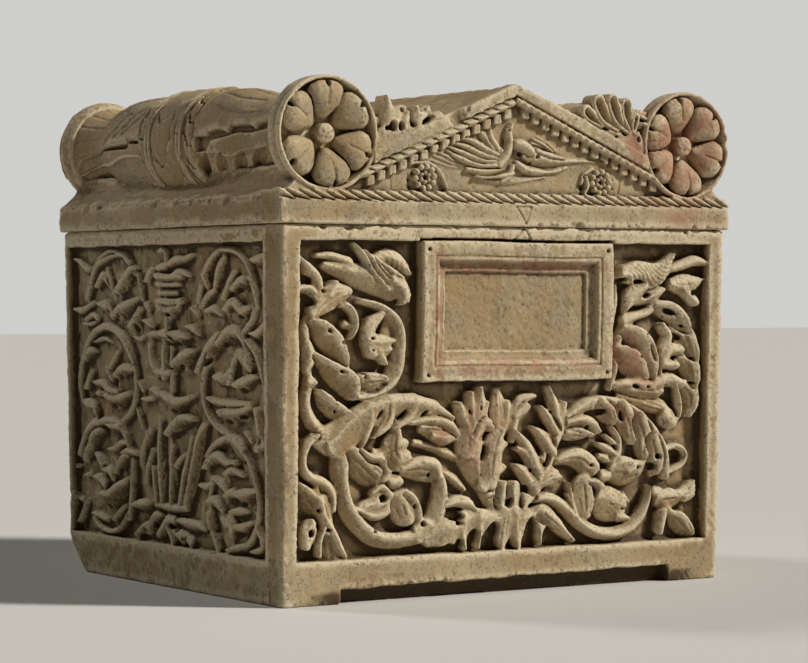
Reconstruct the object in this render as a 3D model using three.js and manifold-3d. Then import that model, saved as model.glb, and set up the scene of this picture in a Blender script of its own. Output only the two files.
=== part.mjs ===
// Lidded cinerarium: a Roman marble ash chest carved from one block, with a gabled lid from a second.
// Millimetres, +Z up. The origin is the middle of the chest's footprint and the front faces -Y.
import * as THREE from "three";
import { mergeVertices } from "three/addons/utils/BufferGeometryUtils.js";
import Module from "manifold-3d";

const wasm = await Module();
wasm.setup();

// The chest block: a little wider at the top than at the foot
const chestTopWidth = 394;
const chestTopDepth = 342;
const chestFootWidth = 388;
const chestFootDepth = 332;
const chestHeight = 267;
const wallThickness = 46;
const floorThickness = 58;
const cavityCornerRadius = 26;
const footHeight = 11;
const footWidth = 48;
const footSetback = 5.5;
const cornerWear = 24;

// The sunk panels on the front and the sides
const panelBottom = 31;
const panelHeight = 225;
const frontFrameWidth = 14;
const frontPanelDepth = 12;
const sidePanelDepth = 8;
const sideFrameBack = 6;
const sideFrameFront = 23;

// The blank framed tablet on the front
const tabletWidth = 170;
const tabletHeight = 101;
const tabletOffset = 5;
const tabletFillet = 10;
const tabletMoulding = 9;
const tabletSinking = 6;
const tabletProjection = 2;

// Stems of the scrollwork
const scrollStemRadius = 6;
const tendrilRadius = 3.6;
const sideStemRadius = 3.4;
const carvingShift = 3;

// The lid's slab, roof and pediment
const seatGap = 0.3;
const lidOverhang = 2.5;
const slabHeight = 18;
const sideSlopeHeight = 14;
const sideSlopeWidth = 17;
const ridgeHeight = 103;
const roofAngle = 23.3;
const bossDepth = 10;
const bossClearance = 3;
const bossRootDepth = 1;
const pedimentRelief = 10;
const bandFrontDepth = 1;
const rakingBandHeight = 9;
const rakingRopeHeight = 8;
const dentilHeight = 9.5;
const dentilWidth = 6.6;
const dentilPitch = 9.4;
const eavesRopeRadius = 4;
const ropePitch = 11.4;

// The bolsters that run from front to back along the lid's sides
const bolsterOffset = 159.5;
const bolsterRise = 63.5;
const bolsterRadius = 38.5;
const balteusBead = 1.5;
const beadEdgeWidth = 1;
const neckRadius = 26.5;
const trumpetRadius = 40.5;
const trumpetBackDepth = 1;
const discRadius = 41;
const discThickness = 16;
const discRim = 4.5;
const discHollow = 12;
const petalCount = 6;
const rightDiscAngle = 8;
const buttonRadius = 8.8;

// The palmettes between the pediment and the discs
const palmetteHeight = 38;
const palmetteThickness = 14;
const palmetteHollow = 6;

const overrun = 5;
const sinking = 2.5;
const overlapDepth = 1;
const ringSides = 18;
const ringSteps = 10;
const bolsterSides = 14;
const stemSides = 6;
const leafSides = 5;
const turnedSides = 8;
const cornerSteps = 4;

const slabWidth = chestTopWidth + 2 * lidOverhang;
const slabDepth = chestTopDepth + 2 * lidOverhang;
const slabBottom = chestHeight + seatGap;
const slabTop = chestHeight + slabHeight;
const slabFront = -slabDepth / 2;
const ridgeTop = chestHeight + ridgeHeight;
const bolsterCentre = chestHeight + bolsterRise;
const roofSlope = Math.tan(THREE.MathUtils.degToRad(roofAngle));

const marble = new THREE.MeshStandardMaterial({ color: 0xcbb994, roughness: 0.72, metalness: 0 });
const lidMarble = new THREE.MeshStandardMaterial({ color: 0xd2c3a0, roughness: 0.7, metalness: 0 });

// Turns a closed geometry into a solid that can be joined and cut
function solidOf(geometry) {
  const bare = geometry.index ? geometry.clone() : geometry;
  bare.deleteAttribute("normal");
  bare.deleteAttribute("uv");
  const merged = mergeVertices(bare, 1e-4);
  return new wasm.Manifold(new wasm.Mesh({
    numProp: 3,
    vertProperties: new Float32Array(merged.attributes.position.array),
    triVerts: new Uint32Array(merged.index.array),
  }));
}

function geometryOf(solid) {
  const mesh = solid.getMesh();
  const geometry = new THREE.BufferGeometry();
  geometry.setAttribute("position", new THREE.BufferAttribute(mesh.vertProperties, mesh.numProp));
  geometry.setIndex(new THREE.BufferAttribute(mesh.triVerts, 1));
  geometry.computeVertexNormals();
  return geometry;
}

function placed(solid, matrix) {
  return solid.transform(matrix.elements);
}

function joined(solids) {
  let sum = solids[0];
  for (const solid of solids.slice(1)) sum = sum.add(solid);
  return sum;
}

// A box given by its lowest and highest corners
function block(low, high) {
  const geometry = new THREE.BoxGeometry(high[0] - low[0], high[1] - low[1], high[2] - low[2]);
  geometry.translate((low[0] + high[0]) / 2, (low[1] + high[1]) / 2, (low[2] + high[2]) / 2);
  return solidOf(geometry);
}

// A block whose foot and top differ in size, standing on z = base
function tapered(footSize, topSize, base, height) {
  const geometry = new THREE.BoxGeometry(1, 1, 1);
  const place = geometry.attributes.position;
  for (let i = 0; i < place.count; i += 1) {
    const size = place.getZ(i) > 0 ? topSize : footSize;
    const level = place.getZ(i) > 0 ? base + height : base;
    place.setXYZ(i, place.getX(i) * size[0], place.getY(i) * size[1], level);
  }
  return solidOf(geometry);
}

// An outline in the plane of x and y, raised from one level to another
function raised(outline, from, to) {
  const shape = new THREE.Shape(outline.map(([x, y]) => new THREE.Vector2(x, y)));
  const geometry = new THREE.ExtrudeGeometry(shape, { depth: to - from, bevelEnabled: false });
  geometry.translate(0, 0, from);
  return solidOf(geometry);
}

// A rounded rectangle, as an outline for raised()
function roundedOutline(width, depth, radius, steps) {
  const outline = [];
  const centres = [[1, 1], [-1, 1], [-1, -1], [1, -1]];
  centres.forEach(([across, along], corner) => {
    for (let i = 0; i <= steps; i += 1) {
      const turn = (corner + i / steps) * Math.PI / 2;
      outline.push([
        across * (width / 2 - radius) + radius * Math.cos(turn),
        along * (depth / 2 - radius) + radius * Math.sin(turn),
      ]);
    }
  });
  return outline;
}

// A stem of even thickness along a smooth level curve: its section is an oval as high as told
function stem(points, radius, height, steps) {
  const section = [];
  for (let i = 0; i < stemSides; i += 1) {
    const turn = (i + 0.5) / stemSides * 2 * Math.PI;
    section.push(new THREE.Vector2(height * Math.cos(turn), radius * Math.sin(turn)));
  }
  const path = new THREE.CatmullRomCurve3(points.map((p) => new THREE.Vector3(...p)), false, "centripetal");
  return solidOf(new THREE.ExtrudeGeometry(new THREE.Shape(section), {
    extrudePath: path,
    steps,
    bevelEnabled: false,
  }));
}

// Spindles that are turned about the wall's normal, for leaves and strands of rope, and a ball
const leafProfileShares = [[0, -1], [0.92, -0.3], [0.8, 0.42], [0, 1]];
const flatLeafProfileShares = [[0, -1], [1, 0], [0, 1]];

function spindle(profileShares) {
  const points = profileShares.map(([r, h]) => new THREE.Vector2(r, h));
  return new THREE.LatheGeometry(points, leafSides, Math.PI / leafSides);
}

const leafForm = spindle(leafProfileShares);
const flatLeafForm = spindle(flatLeafProfileShares);
const ball = new THREE.SphereGeometry(1, stemSides, cornerSteps);

function lump(form, centre, halfSizes, degrees) {
  const geometry = form.clone();
  geometry.scale(halfSizes[0], halfSizes[1], halfSizes[2]);
  geometry.rotateZ(THREE.MathUtils.degToRad(degrees));
  geometry.translate(...centre);
  return solidOf(geometry);
}

// A face's own frame: across to the right as seen, up the face, and outwards
function faceMatrix(across, foot, top) {
  const up = top.clone().sub(foot).normalize();
  const out = new THREE.Vector3().crossVectors(across, up).normalize();
  return new THREE.Matrix4().makeBasis(across, up, out).setPosition(foot);
}

const frontMatrix = faceMatrix(
  new THREE.Vector3(1, 0, 0),
  new THREE.Vector3(0, -chestFootDepth / 2, 0),
  new THREE.Vector3(0, -chestTopDepth / 2, chestHeight),
);

function sideMatrix(side) {
  return faceMatrix(
    new THREE.Vector3(0, side, 0),
    new THREE.Vector3(side * chestFootWidth / 2, 0, 0),
    new THREE.Vector3(side * chestTopWidth / 2, 0, chestHeight),
  );
}

// Every place in the carving tables is counted in steps of the mason's setting-out grid, across from
// the panel's middle and up from its foot. The panel's width and height are shared out in these steps.
const gridColumnsShare = 36.4;
const gridRowsShare = 22.5;
const sideColumnsShare = 30.6;

// Stems of the front scrolls: the two great rings, the rings above them, sheaths and tendrils
const frontStemShares = [
  [[-6, 1.9], [-7.5, 1.4], [-10, 1.2], [-12, 1.9], [-13.5, 3.5], [-14.1, 5.4], [-14, 7.4], [-13.6, 8.9]],
  [[-13.8, 8.7], [-12, 10.2], [-10, 11], [-8, 11], [-6, 10.3], [-4.7, 9.3]],
  [[-7.2, 1.7], [-6, 2.5], [-5.3, 4.1], [-5.6, 5.7], [-6.2, 6.5]],
  [[-14, 8.7], [-16.3, 9.7], [-17.1, 11.9], [-16.8, 14.9], [-16.2, 17.4]],
  [[-15, 18.2], [-12, 18.1], [-10, 17.2], [-9.3, 15.2], [-9.6, 12.9], [-11, 11.7], [-13, 11.6]],
  [[3, 3.4], [4.5, 2.9], [6, 1.8], [8, 1], [10, 0.9], [12, 1.4], [13, 2.5], [13.4, 4.2]],
  [[4.8, 9.9], [6.5, 10.4], [8.5, 10.9], [10.5, 10.3], [12.5, 8.9], [14, 7.2], [14.7, 5.7], [14.6, 4.6]],
  [[9.5, 15.4], [10.5, 16.6], [12.5, 17.1], [14.5, 17.9], [16.3, 16.9], [17.2, 14.9], [17.4, 12.9],
    [17.2, 10.9], [16.4, 8.9], [15, 7.7]],
];
const tendrilShares = [
  [[-15.5, 8.8], [-17.2, 7.7], [-17.4, 6.4], [-16.6, 5.5], [-15.5, 5.1], [-14.9, 4.4], [-15, 3.5]],
  [[14.8, 7], [16, 7.2], [16.9, 6.4], [16.5, 5.5], [15, 4.9]],
];

// Leaves: across, up, half length, half width, turn in degrees from upright, height above the wall
const frontLeafShares = [
  [-9.8, 9.5, 2.3, 0.9, 62, 0.8], [-7.4, 9.7, 2.4, 0.8, 78, 0.7], [-6.2, 8.7, 1.8, 0.8, 84, 0.6],
  [-11.9, 6.2, 1.8, 0.9, -30, 0.9], [-9.6, 7.7, 1.9, 0.9, 5, 0.8], [-7.9, 6, 2, 1, 70, 0.8],
  [-8.6, 3.7, 1.2, 1.1, 40, 0.9], [-7.3, 3.2, 1.3, 0.6, 0, 0.7], [-11.1, 4.2, 1.5, 0.9, 45, 0.9],
  [-12, 3.2, 1.2, 0.6, 70, 0.6], [-7.4, 1.9, 1.2, 0.7, 60, 0.8], [-17, 2, 0.9, 0.8, 20, 0.8],
  [-14.9, 1.6, 1.7, 0.6, -20, 0.7], [-16.9, 4.7, 1.5, 0.7, 55, 0.6], [-15.4, 3.5, 1.2, 0.7, 0, 0.7],
  [-15.2, 16.2, 2, 0.8, -45, 0.8], [-14.9, 17.4, 1.9, 0.9, 70, 0.8], [-14, 15.4, 1.7, 0.7, -15, 0.7],
  [-11.9, 15.9, 2, 0.8, -25, 0.8], [-11.4, 14.7, 1.8, 0.9, -60, 0.9], [-12.9, 13.1, 2.2, 0.9, 60, 0.9],
  [-15.4, 14.2, 1.8, 0.8, 60, 0.8], [-11.2, 12.6, 1.5, 0.7, 80, 0.8], [-15.6, 18.8, 1.9, 0.9, -75, 0.9],
  [-17, 20.2, 1.6, 0.7, 40, 0.8], [-17.1, 14.4, 0.9, 0.8, 0, 0.9], [-16.9, 12.4, 1.1, 0.8, 0, 0.9],
  [-15.1, 10.6, 2.1, 0.9, 35, 0.9],
  [-2.6, 6.4, 3.4, 1.4, 6, 0.7], [-2.6, 10.4, 1.9, 1.3, 6, 0.9], [-4.1, 10.2, 1.3, 0.7, 30, 0.8],
  [-1.5, 8.9, 1.5, 0.8, -20, 0.8], [-0.9, 6.6, 2.1, 0.9, -12, 0.9], [-0.6, 10.6, 1.7, 0.9, -12, 0.6],
  [3.3, 7.2, 4.6, 0.9, -17, 0.8], [1, 8.2, 1.7, 0.6, 15, 0.8], [1.3, 6.2, 1.4, 0.6, 40, 0.8],
  [2.6, 9.2, 1.7, 0.7, 35, 0.9], [4.6, 9.8, 1.7, 0.8, -20, 0.8], [3.9, 11.2, 1.3, 0.8, 0, 0.9],
  [4.6, 5.2, 1.6, 0.7, -60, 0.7], [1.9, 11, 1.4, 0.9, -10, 0.6], [-0.6, 4.2, 1, 0.9, 0, 0.9],
  [0.9, 4.2, 1, 0.9, 0, 0.9], [-4.4, 3.5, 1.6, 0.8, 80, 0.8], [0.2, 2.4, 5.4, 0.9, 88, 0.7],
  [-3.4, 1.5, 1.4, 0.8, -40, 0.7], [-0.7, 1.6, 1.3, 0.9, 0, 0.8], [1.2, 1.5, 1.3, 0.8, 10, 0.8],
  [3.2, 1.6, 1.3, 0.8, 30, 0.8], [5, 1.2, 1.3, 0.7, 50, 0.7],
  [6.7, 8.8, 2.1, 1, 80, 0.8], [9.4, 7.6, 1.5, 1.1, 20, 0.8], [11, 6.4, 1.9, 0.9, -70, 0.8],
  [9.2, 2.7, 1.5, 1.5, 0, 0.9], [7.7, 3.7, 1.5, 1, 35, 0.9], [6.6, 6.2, 1.8, 1, 75, 0.8],
  [5.7, 3.2, 1.4, 0.6, -40, 0.6], [10.6, 8.8, 1.5, 0.7, 35, 0.7], [12.2, 7.8, 1.4, 0.7, 35, 0.7],
  [13.3, 6, 1.3, 0.7, 15, 0.7], [15.6, 3, 1.6, 0.8, -65, 0.8], [14.5, 1.7, 1.3, 0.8, -10, 0.8],
  [16.4, 1.3, 1.6, 0.8, 50, 0.7], [11.3, 14, 2.2, 1, 35, 0.9], [12.9, 15.1, 2.1, 0.9, 30, 0.9],
  [14.6, 15.2, 1.4, 0.8, 20, 0.8], [15.3, 14.2, 1.4, 0.9, -50, 0.9], [16.9, 14.6, 1.3, 0.7, 30, 0.8],
  [17, 11.8, 1.2, 0.7, -40, 0.8], [12.8, 12.3, 3, 0.9, 88, 0.9], [14.9, 9.8, 1.1, 1, 0, 0.9],
  [16.1, 10, 1.5, 0.6, 10, 0.7], [16.1, 18.8, 1.9, 0.8, -70, 0.8], [17, 17.9, 1.2, 0.7, -20, 0.7],
  [9.6, 18.2, 1.1, 0.7, 10, 0.6], [8.9, 11.9, 1, 0.6, 60, 0.6],
];

// The two birds on the front: body, head, wings and tail
const frontBirdShares = [
  [-11.6, 19.9, 2.2, 1.1, 55, 0.9], [-9.3, 19.2, 0.9, 0.8, 0, 1], [-12, 21, 2.6, 0.8, 40, 0.9],
  [-10.1, 20.9, 1.8, 0.8, 50, 0.6], [-15, 21.1, 2, 0.5, 82, 0.6],
  [12, 19.5, 2.1, 1.1, -80, 0.9], [11.2, 18.6, 0.9, 0.8, 0, 1], [12.8, 20.8, 2.6, 1.1, -70, 1],
  [16.2, 20.8, 2.2, 0.5, -75, 0.6],
];

// The side panels: six rings of scroll and a candelabrum between them
const sideRingShares = [
  [-9, 19.1, 4.4, 2.7], [-9.8, 12.5, 4.6, 3.5], [-10.3, 4.6, 4.3, 4],
  [8.8, 18.9, 4.3, 2.7], [9.7, 12.6, 4.5, 3.6], [9.5, 4.2, 4.4, 4],
];
const ringLeafShares = [
  [-0.35, 0.25, 0.42, 60], [0.4, 0.3, 0.44, -55], [-0.3, -0.4, 0.44, 80], [0.35, -0.3, 0.42, 70],
];
const candelabrumShares = [
  [0, 2.2], [3.8, 2.2], [3.4, 3.4], [2.9, 5.5], [2.1, 8.4], [1.2, 9.6], [1, 11], [2.6, 11.5], [1.4, 12.6],
  [1.6, 14], [2.4, 15], [2.7, 15.5], [1, 16.2], [0.8, 16.9], [1.6, 17.8], [2.1, 19], [2.6, 19.7], [0, 19.9],
];
const sideLeafShares = [
  [-3.2, 6.2, 3.2, 1, -25, 0.8], [3.4, 6.2, 3.4, 1, 28, 0.8], [2, 13.8, 1.8, 0.9, -55, 0.8],
  [1.6, 8.9, 2.1, 0.7, -70, 0.8], [3, 11, 1.8, 0.5, -75, 0.7], [-3, 11, 1.8, 0.5, 75, 0.7],
  [-3, 1.4, 2.3, 0.8, 65, 0.8], [3, 1.4, 2.3, 0.8, -65, 0.8], [0, 1.2, 1.6, 0.8, 90, 0.8],
  [-2.6, 20.6, 1.5, 0.5, 70, 0.7], [2.6, 20.8, 1.6, 0.5, -70, 0.7], [0, 20.8, 1, 0.6, 0, 0.7],
  [13.8, 8, 2.2, 0.8, -15, 0.7], [13.9, 20.6, 1.3, 0.5, -60, 0.6], [-13.8, 20, 1.6, 0.6, 60, 0.6],
];

const stepsPerPointShare = 1.5;
const stemHeightShare = 1.4;
const ringLeafHeightShare = 0.7;
const candelabrumReliefShare = 0.33;

// A panel: what is cut from the face, and the carving left standing on its sunk wall
function panelCut(low, high, depth) {
  return block([low[0], low[1], -depth], [high[0], high[1], overrun]);
}

function carvedLeaf(form, [across, up, half, halfWidth, degrees, heightShare], step, shift, depth) {
  const centre = [across * step[0] + shift, panelBottom + up * step[1], -depth];
  return lump(form, centre, [halfWidth * step[0], half * step[1], heightShare * depth], degrees);
}

function carvedStem(points, step, shift, depth, radius) {
  const places = points.map(([across, up]) => [across * step[0] + shift, panelBottom + up * step[1], -depth]);
  return stem(places, radius, stemHeightShare * radius, Math.round(stepsPerPointShare * points.length));
}

function frontCarving() {
  const panelWidth = chestFootWidth - 2 * frontFrameWidth + (chestTopWidth - chestFootWidth) / 2;
  const step = [panelWidth / gridColumnsShare, panelHeight / gridRowsShare];
  const leaves = [...frontLeafShares, ...frontBirdShares];
  const carving = [
    ...leaves.map((leaf) => carvedLeaf(leafForm, leaf, step, carvingShift, frontPanelDepth)),
    ...frontStemShares.map((path) => carvedStem(path, step, carvingShift, frontPanelDepth, scrollStemRadius)),
    ...tendrilShares.map((path) => carvedStem(path, step, carvingShift, frontPanelDepth, tendrilRadius)),
  ];
  const reach = [panelWidth / 2, panelBottom, panelBottom + panelHeight];
  const cut = panelCut([-reach[0], reach[1]], [reach[0], reach[2]], frontPanelDepth);
  const room = block([-reach[0], reach[1], -frontPanelDepth - sinking], [reach[0], reach[2], 0]);
  return { cut, carving: joined(carving).intersect(room).add(tablet()) };
}

// The tablet: a block in the panel with a fillet, a sloping moulding and a sunk blank field
function tablet() {
  const top = panelBottom + panelHeight;
  const level = top - tabletHeight / 2;
  const half = [tabletWidth / 2, tabletHeight / 2];
  const body = block(
    [tabletOffset - half[0], level - half[1], -frontPanelDepth - sinking],
    [tabletOffset + half[0], top, tabletProjection],
  );
  const mouth = [tabletWidth - 2 * tabletFillet, tabletHeight - 2 * tabletFillet];
  const field = [mouth[0] - 2 * tabletMoulding, mouth[1] - 2 * tabletMoulding];
  const sink = tapered(field, mouth, tabletProjection - tabletSinking, tabletSinking);
  return body.subtract(sink.translate([tabletOffset, level, 0]));
}

// A half-round stem bent into an oval ring
function carvedRing(centre, halves, radius) {
  const geometry = new THREE.TorusGeometry(1, 1, stemSides, ringSteps);
  const place = geometry.attributes.position;
  for (let i = 0; i < place.count; i += 1) {
    const turn = Math.atan2(place.getY(i), place.getX(i));
    const out = Math.hypot(place.getX(i), place.getY(i)) - 1;
    place.setXYZ(
      i,
      centre[0] + (halves[0] + out * radius) * Math.cos(turn),
      centre[1] + (halves[1] + out * radius) * Math.sin(turn),
      centre[2] + place.getZ(i) * radius,
    );
  }
  return solidOf(geometry);
}

function sideCarving(side) {
  const reach = [sideFrameBack - chestFootDepth / 2, chestFootDepth / 2 - sideFrameFront];
  const middle = (reach[0] + reach[1]) / 2;
  const step = [(reach[1] - reach[0]) / sideColumnsShare, panelHeight / gridRowsShare];
  const top = panelBottom + panelHeight;
  const carving = [];
  for (const [across, up, wide, high] of sideRingShares) {
    const centre = [across * step[0] + middle, panelBottom + up * step[1], -sidePanelDepth];
    const halves = [wide * step[0], high * step[1]];
    carving.push(carvedRing(centre, halves, sideStemRadius));
    for (const [acrossShare, upShare, lengthShare, degrees] of ringLeafShares) {
      const leaf = [
        across + acrossShare * wide,
        up + upShare * high,
        lengthShare * high,
        lengthShare * wide / 2,
        degrees,
        ringLeafHeightShare,
      ];
      carving.push(carvedLeaf(flatLeafForm, leaf, step, middle, sidePanelDepth));
    }
  }
  for (const leaf of sideLeafShares) {
    carving.push(carvedLeaf(flatLeafForm, leaf, step, middle, sidePanelDepth));
  }
  const profile = candelabrumShares.map(([r, h]) => new THREE.Vector2(r * step[0], h * step[1]));
  const candelabrum = new THREE.LatheGeometry(profile, turnedSides);
  candelabrum.scale(1, 1, candelabrumReliefShare * sidePanelDepth / step[0]);
  candelabrum.translate(middle, panelBottom, -sidePanelDepth);
  carving.push(solidOf(candelabrum));
  const room = block([reach[0], panelBottom, -sidePanelDepth - sinking], [reach[1], top, 0]);
  const cut = panelCut([reach[0], panelBottom], [reach[1], top], sidePanelDepth);
  const mirror = side > 0 ? [-1, 1, 1] : [1, 1, 1];
  return { cut: cut.scale(mirror), carving: joined(carving).intersect(room).scale(mirror) };
}

// What the broken corner at the chest's back left foot has lost: all beyond a slanting plane
function brokenCorner() {
  const corner = new THREE.Vector3(-chestFootWidth / 2, chestFootDepth / 2, 0);
  const along = corner.clone().add(new THREE.Vector3(2 * cornerWear, 0, 0));
  const forward = corner.clone().add(new THREE.Vector3(0, -cornerWear, 0));
  const high = corner.clone().add(new THREE.Vector3(0, 0, cornerWear));
  const across = along.clone().sub(forward).normalize();
  const rise = high.clone().sub(forward);
  const out = new THREE.Vector3().crossVectors(across, rise).normalize();
  if (out.dot(corner.clone().sub(forward)) < 0) out.negate();
  const up = new THREE.Vector3().crossVectors(out, across);
  const plane = new THREE.Matrix4().makeBasis(across, up, out).setPosition(forward);
  const reach = 4 * cornerWear;
  return placed(block([-reach, -reach, 0], [reach, reach, reach]), plane);
}

// The chest: the tapered block, its feet, the cavity for the ashes and the three carved faces
function chestSolid() {
  let body = tapered([chestFootWidth, chestFootDepth], [chestTopWidth, chestTopDepth], 0, chestHeight);
  const front = -chestFootDepth / 2;
  const band = chestFootWidth / 2 - footWidth;
  body = body.subtract(block([-band, front - overrun, -overrun], [band, front + footSetback, footHeight]));
  body = body.subtract(brokenCorner());
  const mouth = [chestTopWidth - 2 * wallThickness, chestTopDepth - 2 * wallThickness];
  const outline = roundedOutline(mouth[0], mouth[1], cavityCornerRadius, cornerSteps);
  body = body.subtract(raised(outline, floorThickness, chestHeight + overrun));
  const faces = [
    { matrix: frontMatrix, face: frontCarving() },
    { matrix: sideMatrix(-1), face: sideCarving(-1) },
    { matrix: sideMatrix(1), face: sideCarving(1) },
  ];
  for (const { matrix, face } of faces) {
    body = body.subtract(placed(face.cut, matrix)).add(placed(face.carving, matrix));
  }
  return body;
}

// A rope moulding: slanting strands side by side along a wall, from one point to another
const strandWidthShare = 0.25;
const strandLengthShare = 0.7;
const eavesStrandAngle = 55;
const rakingStrandAngle = 62;
const eavesRopeRiseShare = 0.9;

function rope(from, to, radius, pitch, lean) {
  const run = new THREE.Vector2(to[0] - from[0], to[1] - from[1]);
  const count = Math.round(run.length() / pitch);
  const turn = THREE.MathUtils.radToDeg(run.angle());
  const halfSizes = [strandWidthShare * pitch, strandLengthShare * pitch, radius];
  const strands = [];
  for (let i = 0; i < count; i += 1) {
    const share = (i + 0.5) / count;
    const centre = [from[0] + share * run.x, from[1] + share * run.y, from[2]];
    strands.push(lump(flatLeafForm, centre, halfSizes, turn + lean));
  }
  return joined(strands);
}

// The pediment: band, rope and dentils up both slopes over a sunk gable field
function pediment() {
  const fieldOut = -pedimentRelief;
  const foot = bolsterOffset;
  const bandLow = ridgeTop - rakingBandHeight;
  const eaves = (level) => level - foot * roofSlope;
  const band = raised([
    [-foot, eaves(bandLow)], [0, bandLow], [foot, eaves(bandLow)],
    [foot, eaves(ridgeTop)], [0, ridgeTop], [-foot, eaves(ridgeTop)],
  ], fieldOut - sinking, -bandFrontDepth);
  const pieces = [band];
  const ropeLevel = bandLow - rakingRopeHeight / 2;
  const ropeOut = fieldOut + rakingRopeHeight / 4;
  const dentilTop = bandLow - rakingRopeHeight;
  const backing = raised([
    [-foot, eaves(dentilTop)], [0, dentilTop], [foot, eaves(dentilTop)],
    [foot, eaves(bandLow) + overlapDepth], [0, bandLow + overlapDepth], [-foot, eaves(bandLow) + overlapDepth],
  ], fieldOut - sinking, ropeOut);
  pieces.push(backing);
  const count = Math.floor((foot - discRadius) / dentilPitch) + 1;
  for (const side of [-1, 1]) {
    const end = side * (foot - discRadius / 2);
    const level = ropeLevel - (foot - discRadius / 2) * roofSlope;
    const lean = side > 0 ? -rakingStrandAngle : rakingStrandAngle;
    const ends = [[0, ropeLevel, ropeOut], [end, level, ropeOut]];
    pieces.push(rope(...ends, rakingRopeHeight / 2, dentilPitch, lean));
    for (let i = side > 0 ? 0 : 1; i <= count; i += 1) {
      const middle = side * i * dentilPitch;
      const top = dentilTop - Math.abs(middle) * roofSlope;
      pieces.push(block(
        [middle - dentilWidth / 2, top - dentilHeight, fieldOut - sinking],
        [middle + dentilWidth / 2, top + dentilPitch * roofSlope / 2, fieldOut + dentilHeight / 2],
      ));
    }
  }
  return joined(pieces);
}

// Reliefs in the gable, as shares of its half width and height: two birds and two round flowers
const gableBirdShares = [
  [-0.17, 0.36, 0.13, 0.1, 60, 0.8], [-0.3, 0.44, 0.3, 0.08, 76, 0.8], [-0.2, 0.53, 0.2, 0.07, 55, 0.7],
  [-0.45, 0.3, 0.2, 0.05, 80, 0.6], [-0.06, 0.5, 0.12, 0.06, -20, 0.8], [-0.02, 0.17, 0.26, 0.05, 84, 0.6],
  [0.01, 0.43, 0.09, 0.1, 20, 1], [0.14, 0.33, 0.16, 0.12, 75, 0.9], [0.17, 0.48, 0.15, 0.06, 40, 0.7],
  [0.4, 0.3, 0.25, 0.05, -82, 0.6],
];
const gableFlowerShares = [-0.6, 0.58];

function gableRelief() {
  const half = bolsterOffset - discRadius / 2;
  const foot = slabTop + 2 * eavesRopeRadius;
  const high = ridgeTop - foot;
  const pieces = gableBirdShares.map(([across, up, length, width, degrees, heightShare]) => lump(
    leafForm,
    [across * half, foot + up * high, -pedimentRelief],
    [width * half, length * half, heightShare * pedimentRelief],
    degrees,
  ));
  const radius = high / 8;
  for (const across of gableFlowerShares) {
    const centre = [across * half, foot + radius, -pedimentRelief];
    pieces.push(lump(ball, centre, [radius, radius, pedimentRelief / 2], 0));
  }
  return joined(pieces);
}

// A half palmette: hollow lobes that fan out from the foot of the slope beside the disc
const palmetteLobeShares = [
  [72, 1.02, 0.17], [44, 1.02, 0.19], [20, 0.96, 0.19], [-3, 0.84, 0.18], [-28, 0.66, 0.14],
];
const palmetteFootShares = [1.28, 0.02];
const lobePlumpShare = 1.25;
const hollowPlaceShare = 1.2;
const hollowWidthShare = 0.7;
const hollowLengthShare = 0.28;

function palmette() {
  const [inward, above] = palmetteFootShares;
  const foot = [bolsterOffset - inward * discRadius, bolsterCentre + above * discRadius];
  const pieces = [];
  const hollows = [];
  for (const [degrees, reachShare, widthShare] of palmetteLobeShares) {
    const turn = THREE.MathUtils.degToRad(degrees);
    const reach = reachShare * palmetteHeight;
    const width = widthShare * palmetteHeight;
    const away = [-Math.sin(turn) * reach / 2, Math.cos(turn) * reach / 2];
    const centre = [foot[0] + away[0], foot[1] + away[1], -palmetteThickness / 2];
    pieces.push(lump(ball, centre, [lobePlumpShare * width, reach / 2, palmetteThickness / 2], degrees));
    const tip = [foot[0] + hollowPlaceShare * away[0], foot[1] + hollowPlaceShare * away[1], 0];
    const hollowSizes = [hollowWidthShare * width, hollowLengthShare * reach, palmetteHollow];
    hollows.push(lump(ball, tip, hollowSizes, degrees));
  }
  const low = foot[1] - palmetteHeight / 2;
  pieces.push(raised([
    [foot[0] - palmetteHeight, foot[1]], [foot[0] - palmetteHeight / 2, low],
    [foot[0] + palmetteHeight / 4, low], [foot[0] + palmetteHeight / 4, foot[1] + palmetteHeight / 3],
    [foot[0], foot[1] + palmetteHeight / 2],
  ], -palmetteThickness, -palmetteThickness / 4));
  return joined(pieces).subtract(joined(hollows));
}

// A turned form about the bolster's line: pairs of distance behind the slab's front, and radius
function turned(profile, sides) {
  const geometry = new THREE.LatheGeometry(profile.map(([y, r]) => new THREE.Vector2(r, y)), sides);
  return solidOf(geometry);
}

// A petal of unit size that points along z and swells towards -y, cleft along its middle
const petalReachShare = 0.64;
const petalWidthShare = 0.33;
const petalLengthShare = 0.36;
const cleftMiddleShare = 0.001;
const cleftDepthShare = 0.62;
const cleftNotchShare = 0.8;
const cleftStartShare = -0.7;
const cleftTipShare = 0.9;
const discBackShares = [[0.6, 0.94], [0.3, 1]];
const buttonShare = 0.8;

function cleftPetal() {
  const geometry = new THREE.SphereGeometry(1, 8, 5);
  geometry.rotateX(Math.PI / 2);
  const place = geometry.attributes.position;
  for (let i = 0; i < place.count; i += 1) {
    const middle = Math.abs(place.getX(i)) < cleftMiddleShare;
    if (middle && place.getZ(i) > cleftStartShare) {
      place.setY(i, place.getY(i) * cleftDepthShare);
      place.setZ(i, place.getZ(i) > cleftTipShare ? cleftNotchShare : place.getZ(i));
    }
  }
  return geometry;
}

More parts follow.
